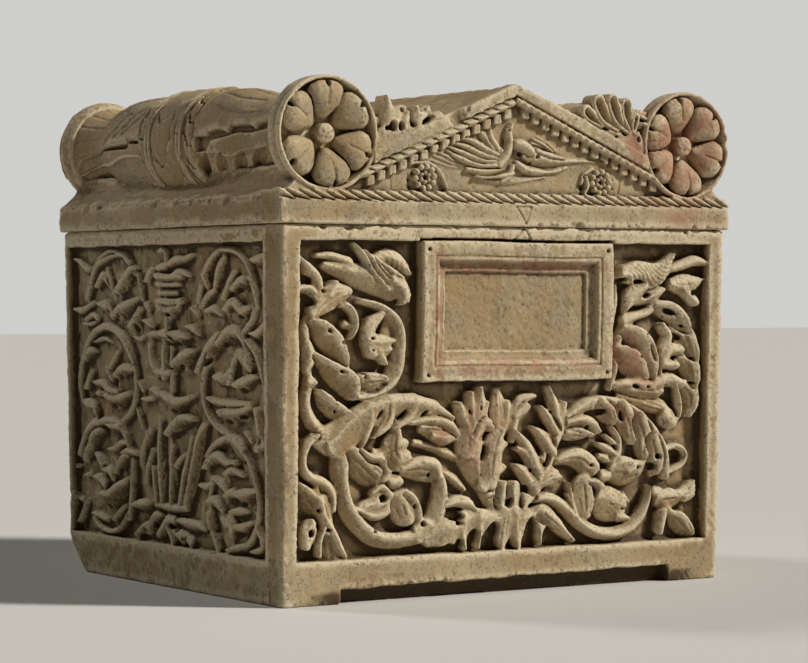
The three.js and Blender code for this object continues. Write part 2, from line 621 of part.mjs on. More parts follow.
// The disc at a bolster's front end: a thin rim round a hollow with a flower of cleft petals
function disc(turnOffset) {
  const inner = discRadius - discRim;
  const back = discBackShares.map(([place, size]) => [place * discThickness, size * discRadius]);
  const shell = turned([
    [discThickness, 0], [discThickness, neckRadius], ...back,
    [0, discRadius], [0, inner], [discHollow, inner - discRim], [discHollow, 0],
  ].reverse(), ringSides);
  const room = turned([
    [discHollow + overlapDepth, 0], [discHollow + overlapDepth, inner], [0, inner], [0, 0],
  ].reverse(), ringSides);
  const petals = [];
  for (let i = 0; i < petalCount; i += 1) {
    const turn = THREE.MathUtils.degToRad(turnOffset + i * 360 / petalCount);
    const away = petalReachShare * inner;
    const geometry = cleftPetal();
    geometry.scale(petalWidthShare * inner, discHollow, petalLengthShare * inner);
    geometry.rotateY(turn);
    geometry.translate(Math.sin(turn) * away, discHollow, Math.cos(turn) * away);
    petals.push(solidOf(geometry));
  }
  const buttonFoot = buttonShare * buttonRadius;
  const button = new THREE.CylinderGeometry(buttonRadius, buttonFoot, discHollow, turnedSides);
  button.translate(0, buttonShare * discHollow, 0);
  return joined([shell, joined(petals).intersect(room), solidOf(button)]);
}

// The bolster: a leaf sheath, a bound middle, a second sheath and a flaring trumpet end. The shares
// are places along the bolster, with radii beside them.
const frontSheathShares = [[0.045, 0.7], [0.1, 0.69], [0.18, 0.765], [0.24, 0.86], [0.3, 0.96], [0.355, 1]];
const bandEdgeShares = [0.365, 0.4, 0.43, 0.55, 0.58, 0.615];
const backSheathShares = [[0.63, 0.98], [0.69, 1], [0.75, 0.97], [0.8, 0.9], [0.84, 0.76]];
const neckPlaceShare = 0.88;
const trumpetShares = [[0.94, 0.83], [0.985, 1]];

function bolster() {
  const full = slabDepth;
  const bead = bolsterRadius + balteusBead;
  const profile = [[frontSheathShares[0][0] * full, 0]];
  for (const [place, size] of frontSheathShares) profile.push([place * full, size * bolsterRadius]);
  bandEdgeShares.forEach((place, i) => {
    const rises = i % 2 === 0;
    profile.push([place * full - beadEdgeWidth, rises ? bolsterRadius : bead]);
    profile.push([place * full + beadEdgeWidth, rises ? bead : bolsterRadius]);
  });
  for (const [place, size] of backSheathShares) profile.push([place * full, size * bolsterRadius]);
  profile.push([neckPlaceShare * full, neckRadius]);
  for (const [place, size] of trumpetShares) profile.push([place * full, size * trumpetRadius]);
  profile.push([full - trumpetBackDepth, trumpetRadius], [full - trumpetBackDepth, 0]);
  return turned(profile, bolsterSides);
}

// The hollows between the leaves on a bolster's outer side, in two rows: how far out and how high
// each row lies, and its half height
const hollowPlaceShares = [0.34, 0.28, 0.22, 0.16];
const hollowRowShares = [[0.92, -0.42, 0.18], [1, 0.07, 0.08]];
const hollowHalfShares = [0.13, 0.22];

function sheathHollows(side) {
  const hollows = [];
  for (const share of hollowPlaceShares) {
    for (const [out, rise, tall] of hollowRowShares) {
      const centre = [side * out * bolsterRadius, share * slabDepth, rise * bolsterRadius];
      const halfSizes = [...hollowHalfShares, tall].map((size) => size * bolsterRadius);
      hollows.push(lump(ball, centre, halfSizes, 0));
    }
  }
  return joined(hollows);
}

// The lid: slab with sloping shoulders and gabled roof, a locating boss, and all that stands on them
function lidSolid() {
  const half = slabWidth / 2;
  const shoulder = half - sideSlopeWidth;
  const shoulderTop = slabTop + sideSlopeHeight;
  const roofFoot = bolsterOffset;
  const section = [
    [-half, slabBottom], [half, slabBottom], [half, slabTop], [shoulder, shoulderTop],
    [roofFoot, ridgeTop - roofFoot * roofSlope], [0, ridgeTop], [-roofFoot, ridgeTop - roofFoot * roofSlope],
    [-shoulder, shoulderTop], [-half, slabTop],
  ];
  const back = raised(section, -slabDepth, -pedimentRelief);
  const ropeRise = slabTop + eavesRopeRiseShare * eavesRopeRadius;
  const ropeEnd = half - ropePitch / 4;
  const lip = block([-half, slabBottom, -2 * pedimentRelief], [half, slabTop, 0]);
  const frontPieces = [
    back,
    lip,
    pediment(),
    gableRelief(),
    rope([-ropeEnd, ropeRise, -eavesRopeRadius], [ropeEnd, ropeRise, -eavesRopeRadius],
      eavesRopeRadius, ropePitch, eavesStrandAngle),
    block([-half, slabBottom, -2 * pedimentRelief], [half, 2 * ropeRise - slabTop, -eavesRopeRadius]),
    palmette(),
    palmette().scale([-1, 1, 1]),
  ];
  const toFront = faceMatrix(
    new THREE.Vector3(1, 0, 0),
    new THREE.Vector3(0, slabFront, 0),
    new THREE.Vector3(0, slabFront, slabTop),
  );
  let body = placed(joined(frontPieces), toFront);
  for (const side of [-1, 1]) {
    const seat = [side * bolsterOffset, slabFront, bolsterCentre];
    const roll = bolster().subtract(sheathHollows(side));
    body = body.add(roll.translate(seat));
    const hollow = turned([
      [-overrun, 0], [-overrun, discRadius], [discThickness / 2, discRadius], [discThickness / 2, 0],
    ], ringSides);
    body = body.subtract(hollow.translate(seat)).add(disc(side > 0 ? rightDiscAngle : 0).translate(seat));
  }
  const mouth = [chestTopWidth - 2 * wallThickness, chestTopDepth - 2 * wallThickness];
  const boss = roundedOutline(
    mouth[0] - 2 * bossClearance,
    mouth[1] - 2 * bossClearance,
    cavityCornerRadius - bossClearance,
    cornerSteps,
  );
  return body.add(raised(boss, slabBottom - bossDepth, slabBottom + bossRootDepth));
}

function piece(name, solid, material) {
  const mesh = new THREE.Mesh(geometryOf(solid), material);
  mesh.name = name;
  return mesh;
}

const cinerarium = new THREE.Group();
cinerarium.name = "lidded_cinerarium";
cinerarium.add(piece("chest", chestSolid(), marble));
cinerarium.add(piece("lid", lidSolid(), lidMarble));

export default cinerarium;
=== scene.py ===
"""Looks of the lidded cinerarium: a carved marble ash chest and its lid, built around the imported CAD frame.

Lengths inside the carving code are millimetres, and become metres when a mesh is made.
"""

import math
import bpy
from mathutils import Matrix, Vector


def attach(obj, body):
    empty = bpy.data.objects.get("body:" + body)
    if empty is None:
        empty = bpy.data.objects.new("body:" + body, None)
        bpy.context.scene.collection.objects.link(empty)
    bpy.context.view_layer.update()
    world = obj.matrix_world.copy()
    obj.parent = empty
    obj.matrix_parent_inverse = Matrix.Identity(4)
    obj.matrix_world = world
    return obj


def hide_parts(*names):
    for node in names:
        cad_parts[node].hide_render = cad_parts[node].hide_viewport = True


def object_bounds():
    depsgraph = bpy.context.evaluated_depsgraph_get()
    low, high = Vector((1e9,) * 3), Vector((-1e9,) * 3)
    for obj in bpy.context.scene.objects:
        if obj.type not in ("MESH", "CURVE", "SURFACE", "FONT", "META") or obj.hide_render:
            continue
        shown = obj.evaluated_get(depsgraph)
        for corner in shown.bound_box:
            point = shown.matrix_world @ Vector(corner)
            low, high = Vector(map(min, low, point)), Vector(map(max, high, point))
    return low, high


bl_info = {
    "name": "Lidded Cinerarium",
    "version": (1, 0, 0),
    "blender": (4, 5, 0),
    "location": "View3D > Sidebar > Cinerarium",
    "description": "Builds a carved marble ash chest with a gabled lid around its CAD frame",
    "category": "Add Mesh",
}

import bpy
import numpy as np
import openvdb
from mathutils import Vector

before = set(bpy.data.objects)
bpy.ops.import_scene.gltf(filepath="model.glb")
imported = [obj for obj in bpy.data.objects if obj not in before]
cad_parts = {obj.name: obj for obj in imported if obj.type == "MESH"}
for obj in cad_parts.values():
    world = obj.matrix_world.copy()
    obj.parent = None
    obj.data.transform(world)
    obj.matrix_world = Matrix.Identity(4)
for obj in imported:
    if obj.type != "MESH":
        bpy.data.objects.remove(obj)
CAD_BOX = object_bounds()

# The chest, whose sides lean out a little from foot to top
FOOT_HALF_DEPTH = 166.0
TOP_HALF_DEPTH = 171.0
FOOT_HALF_WIDTH = 194.0
TOP_HALF_WIDTH = 197.0
CHEST_TOP = 267.0
LEAN_X = (TOP_HALF_WIDTH - FOOT_HALF_WIDTH) / CHEST_TOP
LEAN_Y = (TOP_HALF_DEPTH - FOOT_HALF_DEPTH) / CHEST_TOP
# The sunk panels inside their plain rims, and how deep their ground lies
PANEL_FOOT = 31.0
FRONT_PANEL_TOP = 256.0
FRONT_PANEL_HALF_WIDTH = 182.0
FRONT_GROUND = -12.5
SIDE_PANEL_TOP = 255.0
SIDE_PANEL_BACK = 160.0
SIDE_PANEL_FRONT = 143.0
SIDE_GROUND = -8.0
TABLET_LOW = (-80.0, 155.0)
TABLET_HIGH = (90.0, 256.0)
# The recess under the front, between the feet, and the corner that is broken off at the back
FOOT_WIDTH = 48.0
RECESS_DEPTH = 11.0
RECESS_HEIGHT = 11.5
BROKEN_WIDTH = 48.0
BROKEN_DEPTH = 24.0
# The ash cavity and the boss under the lid that sits in its mouth
CAVITY_HALF_WIDTH = 151.0
CAVITY_HALF_DEPTH = 125.0
CAVITY_FLOOR = 58.0
BOSS_HALF_WIDTH = 148.0
BOSS_HALF_DEPTH = 122.0
BOSS_HEIGHT = 10.0
# The lid
LID_BOTTOM = 267.3
LID_FRONT = -173.5
LID_HALF_WIDTH = 199.5
SLAB_TOP = 285.0
SHOULDER_X = 182.5
SHOULDER_Z = 299.0
RIDGE = 370.0
ROOF_SLOPE = 0.4307
GABLE_RISE = 0.7
BOLSTER_X = 159.5
BOLSTER_Z = 330.5
BOLSTER_RADIUS = 38.5
DISC_RADIUS = 41.0
# Raking moulding: how far below the slope the plain band ends, and the rope's and the dentils' middles lie
RAKING_BAND = {-1: 9.0, 1: 7.7}
RAKING_ROPE = {-1: 11.9, 1: 10.9}
DENTIL_MIDDLE = {-1: 18.5, 1: 18.0}
DENTIL_START = {-1: 0.9, 1: 0.85}
DENTIL_PITCH = 9.05
DENTIL_COUNT = 14
RAKING_STRAND_PITCH = 8.9
RAKING_STRANDS = 15
EAVES_STRAND_PITCH = 10.2
# Where the photograph's camera stands, in metres, and how it is turned, in degrees
CAMERA_PLACE = (-1.1673, -1.8178, 0.218)
CAMERA_YAW = 33.03
CAMERA_PITCH = 0.77
CAMERA_LENS = 123.3
CAMERA_SENSOR = 36
# Painted shade on the deep ground of the sunk panels: where it starts, how far below it is full, and its half
# width
SHADE_DEPTH = -6.5
SHADE_RUN = 4
SHADE_HALF_WIDTH = 188
# Sizes of the cubes in which hollows are looked for, and the form that casts a painted shadow
SMALL_HOLLOW = 2.2
LARGE_HOLLOW = 7
SHADOW_CUBE = 1.6
FAR = 1e9
# Chips along an edge start a little inside it
EDGE_CHIPS = 196


def smooth_max(a, b, radius):
    """The larger of two distances, with the edge between them rounded over."""
    share = np.clip(0.5 + 0.5 * (a - b) / radius, 0, 1)
    return b + (a - b) * share + radius * share * (1 - share)


def smooth_min(a, b, radius):
    """The smaller of two distances, with the corner between them filled."""
    return -smooth_max(-a, -b, radius)


def spline(rows, step):
    """Rows along a smooth curve through the given rows of across, up and half width."""
    rows = np.asarray(rows, float)
    if len(rows) == 1:
        rows = np.vstack([rows, rows + (0.01, 0, 0)])
    ends = np.vstack([2 * rows[0] - rows[1], rows, 2 * rows[-1] - rows[-2]])
    made = []
    for a, b, c, d in zip(ends, ends[1:], ends[2:], ends[3:]):
        count = max(1, int(np.hypot(*(c - b)[:2]) / step))
        t = np.arange(count)[:, None] / count
        bend = (2 * a - 5 * b + 4 * c - d) * t**2
        made.append(0.5 * (2 * b + (c - a) * t + bend + (3 * b - a - 3 * c + d) * t**3))
    made.append(rows[-1:])
    made = np.vstack(made)
    made[:, 2] = np.maximum(made[:, 2], 0.4)
    return made


def nearest(u, w, start, end):
    """How far along a segment each place's nearest point lies, the offsets from it, and the length."""
    run = end - start
    square = run[0] ** 2 + run[1] ** 2 + 1e-9
    t = np.clip(((u - start[0]) * run[0] + (w - start[1]) * run[1]) / square, 0, 1)
    return t, u - start[0] - t * run[0], w - start[1] - t * run[1], math.sqrt(square)


def grain(shape, cell, seed):
    """Soft noise from -1 to 1, with bumps about cell grid steps wide, by stretching coarse random numbers."""
    cells = np.broadcast_to(cell, 3)
    coarse = [max(2, int(np.ceil(n / c)) + 1) for n, c in zip(shape, cells)]
    noise = np.random.default_rng(seed).uniform(-1, 1, coarse).astype(np.float32)
    for axis, count in enumerate(shape):
        place = np.linspace(0, coarse[axis] - 1.001, count)
        low = place.astype(int)
        part = (place - low).astype(np.float32)
        part = part * part * (3 - 2 * part)
        part = part.reshape([-1 if i == axis else 1 for i in range(3)])
        noise = np.take(noise, low, axis) * (1 - part) + np.take(noise, low + 1, axis) * part
    return noise


def box_blur(values, radius):
    """The running mean over a cube of cells."""
    for axis in range(3):
        pads = [(radius + 1, radius) if i == axis else (0, 0) for i in range(3)]
        total = np.cumsum(np.pad(values, pads, mode="edge"), axis=axis, dtype=np.float32)
        count = values.shape[axis]
        high = np.take(total, range(2 * radius + 1, 2 * radius + 1 + count), axis)
        low = np.take(total, range(count), axis)
        values = (high - low) / (2 * radius + 1)
    return values


def scattered(random, count, *ranges):
    """Rows drawn at random: a pair is a range, a list is a choice, and a number stays as it is."""
    rows = []
    for _ in range(count):
        row = []
        for item in ranges:
            if isinstance(item, tuple):
                item = random.uniform(*item)
            elif isinstance(item, list):
                item = random.choice(item)
            row.append(item)
        rows.append(tuple(row))
    return rows


def traces(spots, places):
    """How much of something each point keeps, from rows of across, up, half width and height, and share."""
    left = np.zeros(len(spots))
    for u, w, half, tall, share in places:
        gone = np.hypot((spots[:, 0] - u) / half, (spots[:, 1] - w) / tall)
        left = np.maximum(left, share * np.clip(1.7 - gone, 0, 1))
    return left


class Stone:
    """Marble near one face, as distances on a grid: u across, w up, n out of the face. Below 0 is marble.

    The grid goes from its low to its high corner, a little past the stone. Where a viewpoint is given,
    what is carved is laid out as it is seen from there on the plane of the face.
    """

    def __init__(self, low, high, step, viewpoint=None):
        self.step = step * 1.0
        self.low = np.array(low, float)
        counts = [int(math.ceil((b - a) / self.step)) + 1 for a, b in zip(low, high)]
        self.axes = [(a + self.step * np.arange(c)).astype(np.float32) for a, c in zip(low, counts)]
        self.u = self.axes[0][:, None, None]
        self.w = self.axes[1][None, :, None]
        self.n = self.axes[2][None, None, :]
        self.field = np.full(counts, 50, np.float32)
        self.viewpoint = viewpoint
        # Where old paint lies, and the spots of painted shade that darken the marble, as traces() takes them
        self.painted = []
        self.shade_spots = []
        # How much painted shade darkens the deep ground, and a painted shadow beside a form: the way
        # across and up to the form that casts it, and a share
        self.depth_shade = 0.0
        self.painted_shadow = (0.0, 0.0, 0.0)

    def window(self, low_u, high_u, low_w, high_w, low_n=-FAR):
        """The part of the grid between two places across, two up and above a height."""
        cut = []
        for axis, low, high in zip(self.axes, (low_u, low_w, low_n), (high_u, high_w, FAR)):
            cut.append(slice(*np.searchsorted(axis, [low, high])))
        return tuple(cut)

    def around(self, path, reach, root=-FAR):
        """The window within reach of a path and above a height, and its places across and up."""
        low, high = path.min(0) - reach, path.max(0) + reach
        window = self.window(low[0], high[0], low[1], high[1], root)
        u = self.axes[0][window[0]][:, None].astype(float)
        w = self.axes[1][window[1]][None, :].astype(float)
        return window, u, w

    def seen(self, rows, top):
        """Moves what the photograph shows at some depth to where it really is behind the face."""
        rows = np.array(rows, float)
        if self.viewpoint is not None:
            u, w, away = self.viewpoint
            rows[:, 0] -= top * (rows[:, 0] - u) / away
            rows[:, 1] -= top * (rows[:, 1] - w) / away
        return rows

    def uneven(self, seed):
        """A gentle unevenness over the face."""
        return 0.8 * grain((*self.field.shape[:2], 1), 14 / self.step, seed)

    def recess(self, inside, ground, radius):
        """Sinks a panel where inside is below 0, down to its ground."""
        room = smooth_max(inside, ground - self.n, radius)
        self.field = smooth_max(self.field, -room, 1.2)

    def lay(self, window, outline, top, edge, gap, floor, blend):
        """Adds marble inside an outline up to a height, after clearing a gap round it."""
        n = self.n[:, :, window[2]]
        outline = outline[:, :, None]
        body = smooth_max(outline, (n - top[:, :, None]) * 0.85, edge)
        old = self.field[window]
        if gap:
            old = np.maximum(old, np.minimum(gap - outline, n - floor))
        self.field[window] = smooth_min(old, body, blend)

    def trace(self, rows, top, spare, root=-FAR):
        """The window round a curve, and there the distance, the side, the half width and place along it."""
        path = spline(self.seen(rows, top), 2.0)
        window, u, w = self.around(path, path[:, 2].max() + spare, root)
        best = np.full((u.size, w.size), FAR)
        side = np.zeros_like(best)
        width = np.ones_like(best)
        along = np.zeros_like(best)
        lengths = np.concatenate([[0], np.cumsum(np.hypot(*np.diff(path[:, :2], axis=0).T))])
        for start, a, b in zip(lengths, path, path[1:]):
            t, off_u, off_w, length = nearest(u, w, a, b)
            run = b - a
            half = a[2] + t * run[2]
            gone = np.hypot(off_u, off_w) - half
            near = gone < best
            best = np.where(near, gone, best)
            side = np.where(near, (run[0] * off_w - run[1] * off_u) / length, side)
            width = np.where(near, half, width)
            along = np.where(near, start + t * length, along)
        return window, best.astype(np.float32), side, width, along, max(lengths[-1], 1e-6)

    def stroke(self, rows, top=-1.0, crest=0.0, sag=(3.4, 3.4), power=1.45, edge=1.2, gap=0.0, floor=-9.0,
               blend=0.5, tip=None, ribs=None, root=-16.0, dome=0.0):
        """A leaf, petal or stem along a curve of across, up and half width, from the height top to tip.

        Its crest lies between -1, right of travel, and 1, left of it. The surface falls from there to the
        edges by the right and the left sag. A gap is cleared round it down to the floor, and it blends
        into what is below.
        """
        tip = top if tip is None else tip
        window, best, side, width, along, length = self.trace(rows, (top + tip) / 2, gap + 3, root)
        if not best.size:
            return
        share = along / length
        across = np.clip(side / width, -1, 1)
        left = np.clip((across - crest) / (1 - crest), 0, 1)
        right = np.clip((crest - across) / (1 + crest), 0, 1)
        height = top + (tip - top) * share - sag[1] * left**power - sag[0] * right**power
        height -= dome * np.clip(1 + best / width, 0, 1) ** 3
        if ribs:
            pitch, depth, slant = ribs
            height = height - depth * np.abs(np.sin(math.pi * (along + slant * side) / pitch)) ** 0.5 + depth
        self.lay(window, best, height.astype(np.float32), edge, gap, floor, blend)

    def scoop(self, rows, bed, sag, power, tip=None, top=-3.0):
        """A hollow along a curve, deepest on its spine, where its height goes from bed to tip."""
        window, best, _, width, along, length = self.trace(rows, top, 3)
        if not best.size:
            return
        tip = bed if tip is None else tip
        bed = bed + (tip - bed) * along / length + sag * np.clip(1 + best / width, 0, 1) ** power
        above = bed.astype(np.float32)[:, :, None] - self.n[:, :, window[2]]
        room = smooth_max(best[:, :, None], above, 1.0)
        self.field[window] = smooth_max(self.field[window], -room, 0.8)

    def drill(self, u, w, radius, depth=-11.0, tall=None, turn=0.0, top=-4.0):
        """A drilled hole, oval if a second half size is given, turned in degrees."""
        (u, w), = self.seen([(u, w, 0)], top)[:, :2]
        tall = tall or radius
        reach = max(radius, tall) + 3
        window = self.window(u - reach, u + reach, w - reach, w + reach)
        off_u, off_w = self.u[window[0]] - u, self.w[:, window[1]] - w
        c, s = math.cos(math.radians(turn)), math.sin(math.radians(turn))
        q = np.sqrt(((off_u * c + off_w * s) / radius) ** 2 + ((off_w * c - off_u * s) / tall) ** 2)
        gone = (q - 1) * min(radius, tall)
        hole = smooth_max(gone, depth - self.n[:, :, window[2]], 1.2)
        self.field[window] = smooth_max(self.field[window], -hole, 0.8)

    def groove(self, rows, depth, top):
        """A cut along a curve of across, up and half width."""
        path = spline(self.seen(rows, top), 2.0)
        window, u, w = self.around(path, 4)
        best = np.full((u.size, w.size), FAR)
        for a, b in zip(path, path[1:]):
            t, off_u, off_w, _ = nearest(u, w, a, b)
            best = np.minimum(best, np.hypot(off_u, off_w) / (a[2] + t * (b - a)[2]))
        cut = depth * np.clip(1 - best, 0, 1).astype(np.float32)
        near = np.exp(-(self.field[window] / 6) ** 2)
        self.field[window] += cut[:, :, None] * near

    def outlined(self, corners, depth):
        """Cuts a closed outline through its corners."""
        for a, b in zip(corners, corners[1:] + corners[:1]):
            self.groove([a, b], depth, 0)

    def chips(self, places, seed):
        """Small bruises knocked out of an edge: places hold across, up, out and size."""
        random = np.random.default_rng(seed)
        for u, w, n, size in places:
            sizes = size * random.uniform(0.6, 1.5, 3)
            reach = sizes.max() + 2
            cut = []
            for axis, middle in zip(self.axes, (u, w, n)):
                cut.append(slice(*np.searchsorted(axis, [middle - reach, middle + reach])))
            cut = tuple(cut)
            q = np.sqrt(((self.u[cut[0]] - u) / sizes[0]) ** 2 + ((self.w[:, cut[1]] - w) / sizes[1]) ** 2
                        + ((self.n[:, :, cut[2]] - n) / sizes[2]) ** 2)
            if q.size:
                self.field[cut] = smooth_max(self.field[cut], (1 - q) * sizes.min(), 0.8)

    def weather(self, seed, amount=0.22):
        """Softens every arris a little and roughens the skin."""
        shape = self.field.shape
        cell = 1 / self.step
        near = np.clip(self.field, -4, 4)
        near = 0.55 * near + 0.45 * box_blur(near, 1)
        near += amount * grain(shape, 2.6 * cell, seed)
        near += 1.4 * amount * grain(shape, 9 * cell, seed + 1)
        self.field = near

    def tuck(self, flank, below):
        """Draws a flank in where the stone of the next face covers it."""
        self.field = self.field + 1.6 * np.clip((below - self.n) / 3, 0, 1) * flank

    def hollows(self, points):
        """How deep in a hollow each point lies, from 0 on an edge to 1 in a pit, plus painted shadow."""
        solid = np.clip(0.5 - self.field / self.step / 2, 0, 1)
        last = np.array(solid.shape) - 1
        cells = np.clip(np.rint(points).astype(int), 0, last)
        small = box_blur(solid, max(1, int(SMALL_HOLLOW / self.step)))[tuple(cells.T)]
        large = box_blur(solid, max(2, int(LARGE_HOLLOW / self.step)))[tuple(cells.T)]
        depth = 0.4 * small + 0.6 * large
        # A painted shadow: darker where marble stands next to a place on the side the light comes from
        across, up, share = self.painted_shadow
        if share:
            away = np.rint(np.array([across, up, 0]) / self.step).astype(int)
            cells = np.clip(cells + away, 0, last)
            near = box_blur(solid, max(1, int(SHADOW_CUBE / self.step)))[tuple(cells.T)]
            depth = depth + share * (near - 0.5)
        return np.clip(depth, 0, 1)

    def mesh(self, name, place, open_below=(None, None, None), open_above=(None, None, None),
             adaptivity=0.02):
        """Makes the object, without the faces past its open ends. Place turns its places into the part's."""
        grid = openvdb.FloatGrid(4.0)
        grid.copyFromArray(self.field, tolerance=0.0)
        points, triangles, quads = grid.convertToPolygons(isovalue=0.0, adaptivity=adaptivity)
        spots = points.astype(np.float32) * self.step + self.low.astype(np.float32)
        lost = np.zeros(len(spots), bool)
        for axis in range(3):
            if open_below[axis] is not None:
                lost |= spots[:, axis] < open_below[axis]
            if open_above[axis] is not None:
                lost |= spots[:, axis] > open_above[axis]
        triangles = triangles[~lost[triangles].all(1)]
        quads = quads[~lost[quads].all(1)]
        used = np.zeros(len(spots), bool)
        used[triangles.ravel()] = True
        used[quads.ravel()] = True
        number = np.cumsum(used) - 1
        spots = spots[used]
        # Painted shade that darkens the deep ground
        deep = self.depth_shade * np.clip((SHADE_DEPTH - spots[:, 2]) / SHADE_RUN, 0, 1)
        deep = deep * (np.abs(spots[:, 0]) < SHADE_HALF_WIDTH)
        # The hollow number is brown patina and painted shade: hollows, deep ground, shadows and spots
        numbers = {
            "hollow": self.hollows(points[used]) + deep + traces(spots, self.shade_spots),
            "paint": traces(spots, self.painted),
        }
        low, high = np.array(CAD_BOX[0]) * 1000, np.array(CAD_BOX[1]) * 1000
        spots = np.clip(place(spots.astype(float)), low, high)
        return new_object(name, spots, [number[triangles], number[quads]], numbers)


def new_object(name, spots, faces, numbers=None):
    """A mesh object from millimetre places, lists of triangles and quads, and numbers for each place."""
    mesh = bpy.data.meshes.new(name)
    loops = np.concatenate([f.ravel() for f in faces]).astype(np.int32)
    sizes = np.concatenate([np.full(len(f), f.shape[1] if len(f) else 3, np.int32) for f in faces])
    starts = np.concatenate([[0], np.cumsum(sizes)[:-1]]).astype(np.int32)
    mesh.vertices.add(len(spots))
    mesh.vertices.foreach_set("co", (spots / 1000).astype(np.float32).ravel())
    mesh.loops.add(len(loops))
    mesh.loops.foreach_set("vertex_index", loops)
    mesh.polygons.add(len(sizes))
    mesh.polygons.foreach_set("loop_start", starts)
    mesh.polygons.foreach_set("use_smooth", np.ones(len(sizes), bool))
    for key, values in (numbers or {}).items():
        mesh.attributes.new(key, "FLOAT", "POINT").data.foreach_set("value", values.astype(np.float32))
    mesh.update(calc_edges=True)
    mesh.validate()
    made = bpy.data.objects.new(name, mesh)
    bpy.context.scene.collection.objects.link(made)
    return made


class Face:
    """A face's own frame. Called with places in it (across, up, out), it gives their places in the part."""

    def __init__(self, across, foot, top):
        across, foot, top = (np.array(v, float) for v in (across, foot, top))
        up = (top - foot) / np.linalg.norm(top - foot)
        out = np.cross(across, up)
        self.rows = np.array([across, up, out / np.linalg.norm(out)])
        self.foot = foot

    def __call__(self, spots):
        return spots @ self.rows + self.foot

    def viewpoint(self):
        """Where the photograph's camera stands, in this frame."""
        return tuple(self.rows @ (np.array(CAMERA_PLACE) * 1000 - self.foot))


FRONT_FACE = Face((1, 0, 0), (0, -FOOT_HALF_DEPTH, 0), (0, -TOP_HALF_DEPTH, CHEST_TOP))
LEFT_FACE = Face((0, -1, 0), (-FOOT_HALF_WIDTH, 0, 0), (-TOP_HALF_WIDTH, 0, CHEST_TOP))
RIGHT_FACE = Face((0, 1, 0), (FOOT_HALF_WIDTH, 0, 0), (TOP_HALF_WIDTH, 0, CHEST_TOP))
BACK_FACE = Face((-1, 0, 0), (0, FOOT_HALF_DEPTH, 0), (0, TOP_HALF_DEPTH, CHEST_TOP))
LID_FACE = Face((1, 0, 0), (0, LID_FRONT, 0), (0, LID_FRONT, 1))
LID_BACK_FACE = Face((-1, 0, 0), (0, -LID_FRONT, 0), (0, -LID_FRONT, 1))


def block_distance(stone, face):
    """Distance from the whole chest block with its weathered edges, in one face's grid."""
    rows, foot = face.rows, face.foot
    x, y, z = (
        stone.u * np.float32(rows[0, i]) + stone.w * np.float32(rows[1, i]) + stone.n * np.float32(rows[2, i])
        + np.float32(foot[i]) for i in range(3)
    )
    sides = np.abs(x) - FOOT_HALF_WIDTH - LEAN_X * z
    ends = np.abs(y) - FOOT_HALF_DEPTH - LEAN_Y * z
    wear = 3.0 + 1.2 * np.sin(z / 17.0) * np.sin(x / 23 + y / 31)
    body = smooth_max(sides, ends, wear * 1.6)
    body = smooth_max(body, z - CHEST_TOP, 3.0)
    body = smooth_max(body, -z, 3.0)
    # The broken corner at the back left
    corner = (x + FOOT_HALF_WIDTH) / BROKEN_WIDTH - (y - FOOT_HALF_DEPTH) / BROKEN_DEPTH
    body = smooth_max(body, -(corner + z / BROKEN_DEPTH - 1) * 14.5, 5.0)
    # The recess under the front, with its chipped upper edge
    upper = RECESS_HEIGHT + 0.7 * np.sin(x / 9.0) * np.sin(x / 23 + 1) + 0.3 * np.sin(x / 3.7) + 0.008 * x
    behind = y + FOOT_HALF_DEPTH - RECESS_DEPTH
    band = np.maximum(np.abs(x) - (FOOT_HALF_WIDTH - FOOT_WIDTH), np.maximum(behind, z - upper))
    return smooth_max(body, -band, 1.5)


# How most leaves fall from their crests
GENTLE = dict(crest=0.3, sag=(4, 3))
RIDGED = dict(crest=0.3, sag=(5, 3))
STEEP = dict(crest=0.3, sag=(6, 3))
LEANING = dict(crest=0.4, sag=(6, 3))


def leaf(top, *rows, **form):
    """One leaf, stem or feather: its height, its rows of across, up and half width, and what stroke takes."""
    return dict(form, top=top, rows=list(rows))


